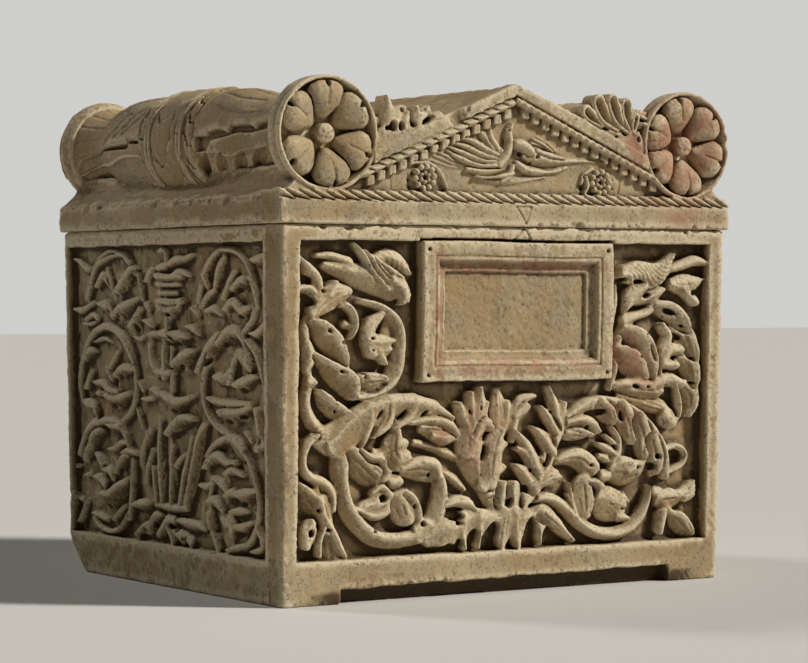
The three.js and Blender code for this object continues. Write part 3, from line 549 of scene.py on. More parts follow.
# Carving on the front, as the photograph shows it
LOWER_LEFT_SCROLL = [
    # The ring
    leaf(-1.5, (-66, 96, 1.5), (-63, 88, 4), (-61, 80, 5.5), (-61, 70, 6.5), (-64, 60, 7), (-70, 51, 7),
         (-78, 45.5, 6), crest=0.4, sag=(5, 3)),
    leaf(-1.2, (-73, 48.5, 5), (-80, 44.5, 6), (-90, 42.5, 5.8), (-100, 42, 5.8), (-112, 43.5, 5.8),
         (-122, 48, 5.8), (-132, 57, 5.8), (-140, 68, 5.8), (-144, 80, 6), (-146, 92, 6.5), (-145, 106, 7),
         (-142, 116, 6), crest=-0.45, sag=(2.5, 6)),
    # The calyx and the sheath that springs from it
    leaf(-2, (-166, 117, 5), (-158, 116, 9), (-148, 116, 13), (-139, 122, 12)),
    leaf(-0.5, (-148, 114, 10), (-136, 124, 11), (-122, 133, 10), (-108, 138, 9), (-95, 139.5, 7.5),
         (-80, 138.5, 7), (-66, 135, 5.5), (-53, 129, 3), crest=0.45, sag=(4.5, 4), gap=0.4),
    leaf(-1, (-124, 137, 5), (-124, 125, 5), (-129, 110, 1.5), crest=0.4, sag=(5, 3)),
    leaf(-1, (-107, 140, 6), (-108, 129, 6.5), (-118, 117, 1.5), **LEANING),
    leaf(-1, (-86, 141, 6), (-90, 132, 6), (-101, 123, 1.5), **LEANING),
    leaf(-1.5, (-69, 138, 4.5), (-76, 133, 4.5), (-85, 128, 1.5), **LEANING),
    # The horn and the hanging bell flower
    leaf(-1.5, (-166, 118.5, 2.5), (-172, 114, 3), (-176, 105, 3.2), (-175.5, 96, 3.2), (-170, 90, 3.5),
         (-162, 87, 4), (-155, 82, 4), (-152, 75, 3.5), (-152, 68, 3), gap=1),
    leaf(-4, (-165, 84, 4), (-162, 77, 7), (-158, 70, 6), crest=-0.4, sag=(2, 5)),
    leaf(-4, (-177, 80, 5), (-170, 72, 7.5), (-164, 64, 6.5), crest=0.8, sag=(7, 2)),
    leaf(-2.5, (-180, 86, 1.5), (-172, 79, 3.5), (-165, 72, 4), (-163, 67, 2), crest=0.5, sag=(5, 2)),
    leaf(-1.5, (-160, 71, 6.5), (-157, 62, 6), (-155, 54, 5), crest=-0.3, sag=(3, 5)),
    leaf(-3.5, (-157, 55, 5), (-155, 46, 7), (-153, 38, 10), crest=0.3, sag=(5, 4), tip=-4.5),
    leaf(-1, (-155, 56, 2.5), (-150, 48, 3), (-146, 40, 3), (-142, 34, 2), sag=(3, 3), gap=0.5),
    leaf(-1.6, (-160, 52, 2), (-163, 44, 2.6), (-163, 36, 2.4), sag=(3, 3), gap=0.5),
    leaf(-2.5, (-173, 44, 5), (-171, 52, 7), (-170, 57, 4), sag=(4, 4), gap=1),
    # The flower inside
    leaf(-1.8, (-136, 104, 6), (-127, 96, 10), (-117, 88, 8.5), crest=0.85, sag=(8, 2), gap=0.8),
    leaf(-1, (-129, 108, 1.5), (-121, 102, 3), (-113, 101, 4.2), (-107.5, 96, 4.2), (-107.5, 90, 3.5),
         (-113, 84, 1.5), crest=0.3, sag=(5, 3), gap=1),
    leaf(-1.2, (-100, 118, 4.5), (-101, 109, 8.5), (-99, 100, 9), crest=0.4, sag=(6, 3), gap=0.6),
    leaf(-1.5, (-97, 112, 3.5), (-93, 112, 3.5), sag=(2, 2)),
    leaf(-1.2, (-96, 101, 4), (-91, 103, 4), (-89, 98, 4), sag=(2, 2)),
    leaf(-5, (-100, 108, 7), (-112, 104, 5), (-118, 106, 3)),
    leaf(-1, (-91, 92, 5), (-80, 93, 8.5), (-70, 91.5, 9), crest=0.6, sag=(7, 2.5), gap=1),
    leaf(-0.8, (-74, 98, 3.5), (-66, 95, 4.4), (-63, 88, 3)),
    leaf(-1.5, (-119, 77, 2), (-112, 80.5, 3.5), (-106, 76, 4), (-104.5, 70, 4.5), (-109, 64, 5),
         (-119, 62, 4.5), (-131, 66, 1.5), crest=0.3, sag=(4, 4), gap=1.2),
    leaf(-2, (-130, 66, 3), (-119, 68, 7), (-111, 71, 8), sag=(4, 4)),
    leaf(-2.5, (-95, 68, 10.5), (-92, 61, 9), crest=0.3, sag=(5, 4), gap=0.6),
    leaf(-1.5, (-91, 76, 3), (-85, 71, 4), (-81, 63, 4), (-80, 55, 3), crest=0.5, sag=(4, 3), gap=0.8),
    leaf(-1, (-82, 50, 3), (-75, 54, 3.5), (-70.5, 53, 2.5), sag=(2, 2)),
    leaf(-1, (-100, 84.5, 5.8), sag=(5, 5), gap=1.5),
    # Leaves between the ring and the acanthus
    leaf(-7, (-84, 112, 3), (-65, 107, 4), (-42, 97, 3)),
    leaf(-7.5, (-60, 90, 3), (-51, 85, 4), (-43, 78, 3)),
    leaf(-2, (-66, 116, 4), (-58, 115, 6), (-51, 116, 5), sag=(4, 4)),
    leaf(-2.4, (-76, 122, 4), (-64, 120.5, 8), (-53, 119, 5), crest=0.5, sag=(6, 3)),
    leaf(-1, (-86, 126, 2), (-75, 127.5, 3.5), (-62, 126.5, 4.2), (-53, 122.5, 4.5), (-47, 117, 2),
         crest=0.3, sag=(4, 3), gap=0.8),
]
CENTRE_ACANTHUS = [
    # The leaf behind
    leaf(-5.5, (-12, 112, 5), (-11, 130, 8.5), (-13, 147, 3.5)),
    leaf(-5, (-8, 118, 4), (-4, 128, 4.5), (-4, 137, 4)),
    leaf(-4.5, (1, 112, 3), (3, 126, 5), (9, 140, 4.5), (19, 143, 2.5)),
    leaf(-3.5, (6, 130, 4), (12, 134.5, 4.8), gap=0.8),
    # The left leaf
    leaf(-1.6, (-38, 108, 9), (-36, 122, 11), (-31, 138, 8), (-28, 149, 2), crest=-0.4, sag=(3, 6)),
    leaf(-3, (-14, 64, 7), (-20, 80, 10), (-31, 96, 12), (-37, 115, 11), (-36, 130, 8), crest=-0.45,
         sag=(3, 6), tip=-2.5),
    leaf(-2, (-38, 120, 4.5), (-43, 130, 5), (-45.5, 137, 3.5), crest=-0.2, sag=(3, 4), blend=1.2),
    leaf(-1.5, (-34, 120, 4.5), (-36, 134, 5), (-36, 145, 3), crest=-0.2, sag=(3, 4), blend=1.2),
    leaf(-0.6, (-30, 116, 5.5), (-29, 134, 5.5), (-27.5, 149, 2), crest=-0.4, sag=(3, 4), blend=1.2),
    leaf(-1, (-25, 128, 3.5), (-22, 138, 2.5)),
    leaf(-0.6, (-30, 115, 4), (-24, 124, 5.5), (-19.5, 122, 4), crest=0.3, gap=0.8),
    leaf(-0.6, (-18, 84, 8), (-16.5, 98, 9.5), (-13.5, 110, 7.5), (-9, 118, 2.5), crest=-0.3, sag=(3, 5),
         gap=0.6),
    leaf(-0.8, (-12, 105, 4), (-6.5, 108, 3.2)),
    leaf(-0.6, (-22, 80, 6), (-14, 88, 5), (-8, 91.5, 3.5), crest=-0.2, sag=(3, 4), blend=1.2),
    # The right leaf
    leaf(-0.6, (11, 62, 5), (19, 73, 7), (25, 85, 8), (34, 96, 6), (38.5, 107, 5.5), (43, 119, 6.5),
         (40, 134, 5.5), (34, 149.5, 1.3), sag=(4, 4), gap=1),
    leaf(-1.5, (43, 120, 5), (48, 136, 3.2)),
    leaf(-1, (40, 118, 4.5), (33, 128, 4), (27.5, 135, 1.3), sag=(4, 4), gap=0.8),
    leaf(-1, (37, 103, 5), (30, 112, 5.5), (20.5, 120, 1.2), sag=(4, 4), gap=0.8),
    leaf(-1, (24, 90, 6), (15, 106, 5), (4, 118.5, 1.2), sag=(4, 4), gap=0.8),
    leaf(-2, (18, 93, 3), (12, 102, 3), (6.5, 105, 2)),
    leaf(-1, (21, 76, 6), (12, 87, 5), (4.5, 93, 1.2), sag=(4, 4), gap=0.8),
    leaf(-1, (27, 80, 6), (36, 84, 7), (43, 83, 3), sag=(4, 4)),
    # Curled tips over the apron
    leaf(-0.8, (-8, 67, 5), (-6.5, 77, 5.2), sag=(5, 5), gap=1.2),
    leaf(-0.8, (4, 64, 6), (4, 75, 6.8), crest=0.2, sag=(5, 5), gap=1.2),
    leaf(-3, (-19, 72.5, 3), gap=0.8),
    # The apron of drooping leaves
    leaf(-1.5, (-70, 42, 6), (-50, 48, 11), (-30, 52, 10), (-10, 51, 9), (10, 50, 10), (30, 52, 10),
         crest=0.5, sag=(4, 3)),
    leaf(-1.5, (-56, 66, 2.5), (-47, 68.5, 4), (-38, 67, 4.5), (-32, 63, 2), gap=0.8),
    leaf(-0.6, (-3, 56, 7), (-5, 44, 6), (-7, 36, 4)),
    leaf(-0.6, (5, 56, 6), (6, 44, 6), (7, 36, 4)),
    leaf(-1, (26, 56, 6), (27, 45, 3.5), (27, 35, 2), sag=(4, 4)),
    leaf(-1, (-27, 56, 6), (-27, 45, 3.5), (-28, 35, 2), sag=(4, 4)),
    leaf(-0.8, (30, 56, 7), (42, 48, 5), (56, 36, 2.5), crest=0.3, sag=(5, 3), gap=0.6),
    leaf(-2, (-42, 54, 6), (-42, 44, 4), (-40, 35, 3), sag=(4, 4)),
]
LOWER_RIGHT_SCROLL = [
    leaf(-1.2, (22, 67, 3), (34, 67.5, 4.5), (44, 64, 4.8), (53, 57.5, 5), (62, 50, 5), (72, 43.5, 5),
         (84, 39, 5), (97, 38, 5), (109, 41, 5), (118, 47, 5), (124, 55, 4.5), (128, 64, 3.2), (129, 73, 1),
         sag=(5, 5), gap=0.8),
    leaf(-2, (60, 51, 2.6), (56, 64, 2.4), (54, 78, 0.8)),
    leaf(-3, (57, 56, 2), (51.5, 70, 0.8)),
    # The sheath
    leaf(-0.5, (50, 126, 3), (65, 134, 4.5), (80, 137, 4.8), (95, 135.5, 5.5), (108, 130.5, 6),
         (120, 123, 6.5), (130, 113.5, 7), (138, 103, 7), (142, 93, 6), (144, 84, 4.5), (144, 79, 2),
         crest=0.45, sag=(4, 4), gap=1.2),
    leaf(-1.2, (82, 136, 5.5), (89, 129, 7), (94, 121, 1.5), crest=0.6, sag=(7, 2.5), gap=0.6),
    leaf(-1, (102, 132, 7), (109, 120, 8.5), (112, 106, 1.5), crest=0.6, sag=(7, 2.5), gap=0.6),
    leaf(-1.2, (118, 123, 7), (123, 109, 8), (122, 91, 1.5), crest=0.6, sag=(7, 2.5), gap=0.6),
    leaf(-1.5, (131, 107, 7), (135, 94, 7), (134, 81, 2), crest=0.6, sag=(7, 2.5), gap=0.6),
    leaf(-3, (147, 101.5, 2.4), (154, 102.5, 2.4), (160.5, 100, 2.4), (163, 95, 2.4), (160, 89, 2.4),
         (154, 85.5, 2.4), (147, 83, 2.4), gap=1),
    # The flower inside
    leaf(-2, (46, 117, 6), (56, 117, 8), (65, 115, 5), crest=0.4, sag=(5, 3)),
    leaf(-3, (74, 115, 4)),
    leaf(-1, (50, 122, 4), (63, 124, 4.5), (73, 121.5, 5), (80, 116, 2.5), crest=0.3, sag=(5, 3), gap=0.8),
    leaf(-1.2, (42, 94, 3), (53, 96.5, 5.5), (64, 95.5, 8), (71.5, 90, 9), crest=0.4, sag=(6, 3), gap=1),
    leaf(-2.5, (66, 76, 8), (67.5, 66, 10), (68, 57, 6.5), crest=0.6, sag=(3, 6), gap=0.6),
    leaf(-1.2, (73, 78.5, 2), (80, 76.5, 3.8), (84, 71, 4), (82, 65, 3), crest=0.3, sag=(4, 3), gap=1),
    leaf(-2, (90, 61, 13.5), (93, 60, 13), crest=0.3, sag=(6, 5), gap=0.8),
    leaf(-3.5, (103, 66, 4), (107, 63, 2)),
    leaf(-3, (101, 51, 4.5), (107, 50, 2)),
    leaf(-2.2, (96, 84, 8), (106, 84, 10.5), (116, 85, 7), crest=0.5, sag=(7, 3), gap=0.6),
    leaf(-1.5, (94, 90, 3), (103, 92.5, 3.8), (109, 92, 3), sag=(4, 3)),
    leaf(-1.5, (111, 86, 4), (117, 89, 3.5), (121, 91, 1.5), sag=(4, 3)),
    leaf(-2, (82, 97, 2.5), (90, 95, 4), (96, 96, 3)),
    leaf(-1, (93, 118, 1.3), (98, 110, 3.2), (98, 101, 4), (94, 95, 3.5), crest=0.3, sag=(5, 3), gap=0.8),
    leaf(-2, (87, 112.5, 1.2), (93, 107, 3)),
    leaf(-1.5, (80, 106.5, 1.2), (88, 102.5, 3.5), (94, 99, 3.5)),
    leaf(-1, (86.5, 82, 4.8), sag=(4, 4), gap=1.5),
    # The flower in the right margin
    leaf(-3, (136, 68, 4.8), gap=0.8),
    leaf(-1.6, (141, 62, 6.5), (150, 62.5, 8), (157, 63.5, 4), **LEANING),
    leaf(-3, (145, 57, 5), (149, 53, 3), sag=(4, 4)),
    leaf(-1.8, (160, 65.5, 4.5), (167, 66.5, 6.5), (172, 75, 1.5), sag=(4, 4), gap=0.6),
    leaf(-1.5, (140, 40, 4.8), (142, 50, 5.5), sag=(5, 5), gap=1),
    leaf(-1.5, (150, 50, 3), (157.5, 46, 7), (163.5, 40, 7), (170, 35, 2), crest=0.7, sag=(7, 2)),
]
UPPER_LEFT_SCROLL = [
    leaf(-4, (-163, 122, 5), (-171, 131, 5), (-175, 143, 4.5), (-173, 156, 4), (-173.5, 165, 3.5),
         (-175, 180, 4.5), (-176, 192, 4.5), (-171, 203, 5), (-166, 214, 5), sag=(4, 4)),
    leaf(-2, (-130, 213, 2), (-118, 210, 3), (-108, 204.5, 4.5), (-101, 197, 5.5), (-98.5, 187, 6.2),
         (-99.5, 176, 6.5), (-101, 165, 6.5), (-106, 156, 5.5), (-117, 149.5, 4), (-131, 147, 3.5),
         (-143, 149, 2), crest=0.6, sag=(7, 2.5), gap=0.8),
    leaf(-1.2, (-170.5, 156.5, 4), gap=0.8),
    leaf(-1, (-174, 181, 4.6), (-172, 174, 5.4), (-174, 166, 3), tip=-2.5, gap=0.8),
    # Leaves inside, broad and shaded below their lit edges
    leaf(-1.2, (-152, 209, 1.5), (-143, 210.5, 2.4), (-136.5, 205, 2.8), (-134.5, 196, 2.6),
         (-138, 187, 1.2), crest=0.3, gap=0.8),
    leaf(-5, (-143, 197, 3.5), (-137, 195, 3)),
    leaf(-0.8, (-169, 198, 4), (-161, 191.5, 8), (-153, 184, 9), (-147, 175, 6.5), (-141.5, 168, 1.5),
         crest=0.78, sag=(8, 2), gap=0.8),
    leaf(-7, (-110, 189, 6), (-108, 199, 4.5), sag=(2, 2)),
    leaf(-1, (-113, 203, 3), (-121, 196, 5.5), (-123.5, 187, 5.5), (-121, 179, 5.5), sag=(3, 4), gap=0.8),
    leaf(-1, (-121, 185, 5), (-112, 184, 5.5), (-103, 185, 1.8), sag=(4, 3)),
    leaf(-1.2, (-119, 178, 6), (-111, 178.5, 5.5), (-106, 179, 2), sag=(4, 3)),
    leaf(-1.2, (-114, 176, 4.5), (-110, 170, 2.6), sag=(4, 4)),
    leaf(-1, (-130, 158, 3), (-121, 155.5, 7.5), (-111, 157, 4), crest=0.72, sag=(7, 2), gap=0.8),
    leaf(-0.8, (-168, 175, 2.5), (-158, 168, 5), (-148, 160.5, 8), (-140, 155.5, 9), (-137, 148, 5),
         crest=0.8, sag=(8, 2), gap=0.8),
    leaf(-1, (-163, 149, 2.5), (-158, 143, 5.5), (-150, 136.5, 6.5), (-144, 133.5, 5.5), (-138, 130, 1.5),
         crest=0.7, sag=(7, 2.5), gap=0.8),
    # Margin leaves
    leaf(-1.5, (-181, 243, 1.5), (-174, 235.5, 4.4), (-167.5, 228, 5.4), (-165, 220, 3), crest=0.4,
         sag=(5, 3)),
    leaf(-2, (-180, 221.5, 3), (-174, 222, 3.6), (-168, 218, 3), **RIDGED),
    leaf(-1.2, (-168, 206, 5), (-160, 213, 8.5), (-150, 218, 7.5), (-142.5, 219.5, 4.6), sag=(4, 4),
         gap=0.8),
    leaf(-1.5, (-155, 220, 4), (-152, 225, 3)),
]
LEFT_BIRD = [
    leaf(-4.5, (-120, 243, 3), (-108, 244.5, 6.5), (-98, 239.5, 5.5), (-90, 233, 2), ribs=(5, 0.8, 0.8)),
    leaf(-3.5, (-167, 245, 1.5), (-155, 245, 2.8), (-141, 241, 3.5)),
    leaf(-4, (-160, 238, 3), (-140, 233, 8), (-122, 228, 9.5), (-106, 221, 8), crest=0.3, sag=(5, 4)),
    # Wing feathers, each with its own tip
    leaf(-2, (-136, 254, 0.8), (-127, 243.5, 3), (-117, 233, 4.2), (-108, 225, 4.5), tip=-1, crest=0.3,
         sag=(4, 2.5), gap=0.6),
    leaf(-1.8, (-127, 249, 0.8), (-119, 240, 2.8), (-110, 231, 3.6), (-102, 224, 4.5), tip=-0.8, crest=0.3,
         sag=(4, 2.5), gap=0.6),
    leaf(-1.6, (-120, 244.5, 0.8), (-112, 237.5, 2.6), (-105, 231, 3.4), (-97, 224, 4.5), tip=-0.6,
         crest=0.3, sag=(4, 2.5), gap=0.6),
    leaf(-2, (-113, 240, 0.8), (-105, 234, 2.6), (-97, 228, 3.6), tip=-0.8, crest=0.3, sag=(4, 2.5),
         gap=0.6),
    leaf(-0.6, (-101, 226.5, 5), (-95.5, 222.5, 6), (-93, 216, 4.6), (-96, 211, 1.3), sag=(4, 4), gap=0.6),
]
UPPER_RIGHT_SCROLL = [
    leaf(-3.5, (90, 148, 2.5), (94, 160, 3.4), (95, 172, 3.8), (98, 184, 3.8), (104, 194, 4.5),
         (108, 199, 5), sag=(4, 4)),
    leaf(-1.4, (105, 198.5, 4.8), (112, 201, 3.4), (124, 204, 3.2), (134, 210, 3.8), gap=0.6),
    leaf(-6, (100, 143, 5), (120, 138, 8), (138, 133, 6)),
    leaf(-4.5, (137, 157, 2), (137, 171, 3)),
    # Outer leaves that make the ring, shaded inside their lit outer edges
    leaf(-2, (157, 149, 3), (165, 144.5, 8), (168, 136, 6.5), (166, 127, 3), crest=0.72, sag=(8, 2)),
    leaf(-1.5, (157, 168.5, 2.5), (165, 166, 8), (169, 157, 7), (170.5, 149, 3), crest=0.75, sag=(8, 2),
         gap=0.8),
    leaf(-1.2, (151, 192.5, 2.5), (161, 187, 8), (166.5, 178, 7.5), (171, 170, 3), crest=0.75, sag=(8, 2),
         gap=0.8),
    leaf(-0.8, (134, 208, 3.5), (145, 206, 7), (156, 199, 7.5), (163.5, 191, 3), crest=0.75, sag=(8, 2),
         gap=0.8),
    # Inner leaves
    leaf(-2, (140, 193, 3.6), (144.5, 186, 4.8), (141, 178, 4), crest=0.3, sag=(4, 3), gap=0.6),
    leaf(-1.5, (142, 169, 4), (147.5, 175.5, 5), (155.5, 175.5, 4.6), sag=(4, 3), gap=0.6),
    leaf(-2, (142, 165, 3.5), (151, 164.5, 4.4)),
    leaf(-1, (104, 190, 4), (113, 186, 8.5), (121.5, 180, 9.5), (127, 170, 8.5), (129.5, 160, 5),
         (132, 154, 1.2), crest=0.8, sag=(8, 2), gap=0.8),
    leaf(-0.8, (97, 176, 3.5), (105, 171, 8.5), (112.5, 165, 10.5), (118, 157.5, 8), (123, 152, 3),
         crest=0.8, sag=(8, 2), gap=0.8),
    leaf(-1, (97, 149, 3), (108, 148, 6.5), (122, 146, 7.5), (134, 145, 7), crest=0.5, sag=(7, 3), gap=0.8),
    leaf(-0.8, (136, 150, 5), (147, 153, 5.2), (157, 150, 4), crest=0.2, sag=(4, 3), gap=0.6),
    leaf(-2, (146, 124, 8), (147, 123, 7.5), sag=(5, 5), gap=1),
    leaf(-1.5, (153, 147, 1.3), (156, 138, 2.5), (156, 128, 3), (151, 120, 2.5), crest=0.3),
    # Leaf in the corner, and slips beside the tablet
    leaf(-2.2, (150, 225.5, 5), (160, 225.5, 8), (169, 226.5, 5.5), (177, 229.5, 1.5), sag=(4, 4)),
    leaf(-2.2, (162, 220, 5), (169.5, 213, 4.4)),
    leaf(-5, (91, 198, 2.5), (93, 213, 3.5), (93, 221, 2)),
]
RIGHT_BIRD = [
    leaf(-6, (93, 225, 2.5), (99, 234, 4), (108, 237, 3)),
    leaf(-4, (116, 214, 5), (128, 217, 6.5), (138, 221, 3), sag=(4, 4)),
    leaf(-1.5, (146, 237, 3), (158, 240, 3.8), (170, 243.5, 4), (178, 242.5, 3)),
    leaf(-0.6, (106, 233, 7), (117, 233.5, 9.5), (129, 232, 9.5), (139, 236, 6.5), (149, 248, 1.5), gap=0.8,
         ribs=(4.2, 1.4, 0.9)),
    leaf(-0.8, (119, 222, 5), (112, 217, 7), (106.5, 210, 3.5), (104, 205, 1), sag=(4, 4), gap=0.8),
]
FRONT_CARVING = [
    UPPER_LEFT_SCROLL, UPPER_RIGHT_SCROLL, LEFT_BIRD, RIGHT_BIRD, LOWER_LEFT_SCROLL, LOWER_RIGHT_SCROLL,
    CENTRE_ACANTHUS,
]
# Drilled eyes: across, up, half width, half height, turn
FRONT_DRILLINGS = [
    (-116, 133, 1.5, 4.5, -35), (-96, 132, 1.5, 5, -40), (-78, 133, 1.4, 4, -45), (-116, 97, 1.2, 1.2, 0),
    (-73, 89, 1.6, 1.6, 0), (-112, 73, 3.5, 2.6, 30), (-85, 67, 1.5, 2.6, 0), (-79, 54, 2.2, 2, 0),
    (-165, 67, 1.4, 1.4, 0), (-157, 53, 2, 1.2, 0), (-171, 51, 3, 3, 0), (-119, 50, 1.6, 1.2, 0),
    (-25.5, 103, 3, 6, -20), (-48, 53, 3.5, 1.8, 0), (-54, 37, 3.5, 1.5, 0), (-45.5, 38.5, 3, 3, 0),
    (-34, 42, 4.5, 6.5, -25), (-18, 44, 5.5, 9.5, -20), (17, 45, 5.5, 10, 0), (34, 41, 5, 6, 30),
    (-50, 58, 7, 3.5, 0), (31, 96, 2.2, 5.5, -20), (33.5, 131.5, 1.3, 1.3, 0), (16, 89, 1.5, 1.5, 0),
    (12.5, 75, 2.8, 3.5, 40), (-2.5, 66, 1.8, 5, -30), (15.5, 63, 2.5, 1.5, 0), (-30, 136, 1.2, 2.5, 0),
    (-38.5, 133, 1.2, 2.2, 0), (134.5, 95.5, 2.5, 2.5, 0), (130, 88, 3.5, 3, 0), (146.7, 86.7, 1.3, 1.3, 0),
    (134, 78, 3.5, 3.5, 0), (100, 127, 2.2, 5, 20), (80, 130, 6, 2.4, 10), (68, 119, 1.8, 2, 0),
    (71, 91, 1.8, 1.3, 0), (114.5, 88, 1.6, 1.6, 0), (93, 103.5, 1.6, 2.4, 30), (102, 69, 1.4, 1.4, 0),
    (101.5, 57, 2, 1.2, 0), (-163, 220, 1.2, 1.2, 0), (-176, 228, 4.5, 3, -20), (-174, 213, 5, 3.5, 0),
    (-165, 201.5, 1.4, 1, 0), (-158, 193, 1.4, 1.8, 40), (-147, 184, 2, 1.6, -30), (-148, 164, 2, 1.3, -20),
    (-123, 178.5, 1.2, 1.2, 0), (-123, 187, 2.2, 1.2, 0), (-128, 160, 1.5, 1.5, 0), (-152.5, 144, 1, 1, 0),
    (-152.5, 136, 1, 1.4, 0), (-121, 168, 5, 2.6, -10), (117, 171, 1.6, 1.3, 0), (108, 178, 2.5, 1, -15),
    (122, 188, 2, 1, -20), (134, 177, 2, 0.9, -20), (149, 169, 1.6, 1.6, 0), (157, 194, 2.5, 1, -20),
    (168, 169, 2.5, 1.2, 0), (168, 150.5, 2.5, 1, 0), (152, 186, 6, 2.5, -20), (128, 174, 1.2, 7, 20),
    (141, 149, 1.3, 1.3, 0), (113, 149, 4, 1.4, -15), (123, 148.5, 1.6, 1, 0), (167, 219, 3, 2.5, 0),
    (113, 228, 4, 1.2, 0), (98, 228, 5, 2, 20), (123, 217, 4, 2, 20), (152, 128, 1.6, 4, 0),
    (144, 205, 7, 2.2, -15),
]
# Old red paint: across, up, half width, half height and how much is left
FRONT_PAINT = [
    (-65, 205, 4, 40, 0.8), (5, 238, 66, 4, 0.7), (5, 166, 66, 4, 0.5), (112, 170, 17, 17, 0.6),
    (94, 176, 5, 10, 1), (-30, 118, 13, 26, 0.45), (-58, 116, 8, 6, 0.6), (100, 127, 18, 8, 0.5),
    (122, 148, 16, 6, 0.5), (5, 110, 30, 20, 0.2),
]
LID_PAINT = [
    (159.5, 330.5, 32, 32, 0.75), (164, 276, 24, 9, 0.5), (150, 288, 30, 4, 0.5), (109, 324, 8, 14, 0.75),
    (100, 320, 14, 6, 0.4),
]
# The tablet's moulding: how far in from its edge, and height
TABLET_PROFILE = [
    (-2, 1), (0, 1.3), (10.2, 1.3), (10.8, -0.6), (11.4, 0.4), (12.2, 0.9), (13.6, 0.6), (14.6, -0.7),
    (16.5, -3.4), (19, -4.8), (20.6, -5.0), (21.0, -4.4), (21.8, -4.6), (22.4, -7.0), (40, -7.4),
]
TABLET_FIELD = 22
TABLET_HOLE_INSET = 5


def tablet(stone):
    """The blank framed tablet: a flat fillet, a groove, a bead and a hollow moulding round the sunk field."""
    low, high = np.array(TABLET_LOW), np.array(TABLET_HIGH)
    window = stone.window(low[0] - 4, high[0] + 4, low[1] - 4, high[1] + 8)
    u, w = stone.u[window[0]][:, :, 0], stone.w[:, window[1]][:, :, 0]
    u = u + 0.5 * np.sin(w / 19)
    w = w + 0.5 * np.sin(u / 27)
    middle = (low + high) / 2
    half = (high - low) / 2
    inside = np.minimum(half[0] - np.abs(u - middle[0]), half[1] - np.abs(w - middle[1]))
    top = np.interp(inside, *zip(*TABLET_PROFILE))
    top += 0.22 * grain((*top.shape, 1), (5, 5, 1), 31)[:, :, 0]
    pits = grain((*top.shape, 1), (1.6 / stone.step, 3.2 / stone.step, 1), 37)[:, :, 0]
    top -= np.where(inside > TABLET_FIELD, 0.9 * np.clip(pits - 0.35, 0, 1), 0)
    stone.lay(window, (-inside).astype(np.float32), top.astype(np.float32), 1.0, 2.0, FRONT_GROUND, 0.4)
    for u in (low[0] + TABLET_HOLE_INSET, high[0] - TABLET_HOLE_INSET):
        for w in (low[1] + TABLET_HOLE_INSET, high[1] - TABLET_HOLE_INSET - 0.5):
            stone.drill(u, w, 1.5, depth=-2.5, top=0)


def veins(stone, form):
    """A broad leaf's midrib, and a vein on each side of its tip."""
    rows, top = form["rows"], form["top"]
    if max(half for _, _, half in rows) <= 6.2 or not 2 <= len(rows) <= 4:
        return
    stone.groove([(u, w, 0.5 + 0.06 * half) for u, w, half in rows], 1.1, top)
    (u, w, _), (u_end, w_end, _) = rows[0], rows[-1]
    long = math.hypot(u_end - u, w_end - w) or 1
    aside = (w - w_end) / long, (u_end - u) / long
    for side in (-0.5, 0.5):
        vein = [(a + side * h * aside[0], b + side * h * aside[1], 0.7) for a, b, h in rows[-2:]]
        stone.groove(vein, 0.8, top)


def carve_front(settings):
    """The chest's front face, with its corners."""
    stone = Stone((-200, -1.5, -27), (200, 269, 4), settings.detail, FRONT_FACE.viewpoint())
    stone.field = block_distance(stone, FRONT_FACE).astype(np.float32)
    uneven = stone.uneven(5)
    across = np.abs(stone.u) - FRONT_PANEL_HALF_WIDTH
    inside = np.maximum(across, np.maximum(PANEL_FOOT - stone.w, stone.w - FRONT_PANEL_TOP))
    stone.recess(inside + 0.6 * uneven, FRONT_GROUND + 0.9 * uneven, 3.0)
    for group in FRONT_CARVING:
        for form in group:
            stone.stroke(**{"blend": 2.4, **form})
            if group not in (LEFT_BIRD, RIGHT_BIRD):
                veins(stone, form)
    tablet(stone)
    for u, w, half, tall, turn in FRONT_DRILLINGS:
        stone.drill(u, w, half, tall=tall, turn=turn, depth=-11.5)
    random = np.random.default_rng(11)
    places = scattered(random, 26, (-EDGE_CHIPS, EDGE_CHIPS), CHEST_TOP, 1, (1.5, 4))
    places += scattered(random, 26, (-140, 140), RECESS_HEIGHT, 0.5, (0.8, 2))
    for side in (-1, 1):
        places += scattered(random, 14, side * EDGE_CHIPS, (4, 262), 1.5, (1.5, 4))
    places += [(-88, RECESS_HEIGHT, 0, 3), (-96, RECESS_HEIGHT, 0, 2)]
    stone.chips(places, 12)
    # The mason's mark once more, under the lid's
    stone.outlined([(-1, 257, 1.0), (15, 257, 1.0), (9, 266, 1.1)], 1.6)
    stone.weather(41)
    stone.painted = FRONT_PAINT
    # Painted shade on the deep ground
    stone.depth_shade = 0.06
    # A painted shadow below and left of each form, as light from the upper right would cast it
    stone.painted_shadow = (2.5, 2.5, 0.08)
    # Painted shade spots: dark in the recess under the front, a little darker towards the foot and the left
    # edge
    stone.shade_spots = [(u, 2, 45, 7, 0.5) for u in range(-112, 113, 28)]
    stone.shade_spots += [(u, 14, 50, 16, 0.04) for u in range(-180, 181, 40)]
    stone.shade_spots += [(-184, w, 14, 45, 0.035) for w in range(10, 260, 40)]
    stone.tuck(np.abs(stone.u) > 165, -19.5 - 5 * stone.w / CHEST_TOP)
    return stone.mesh("chest_front", FRONT_FACE, open_below=(None, None, -26))


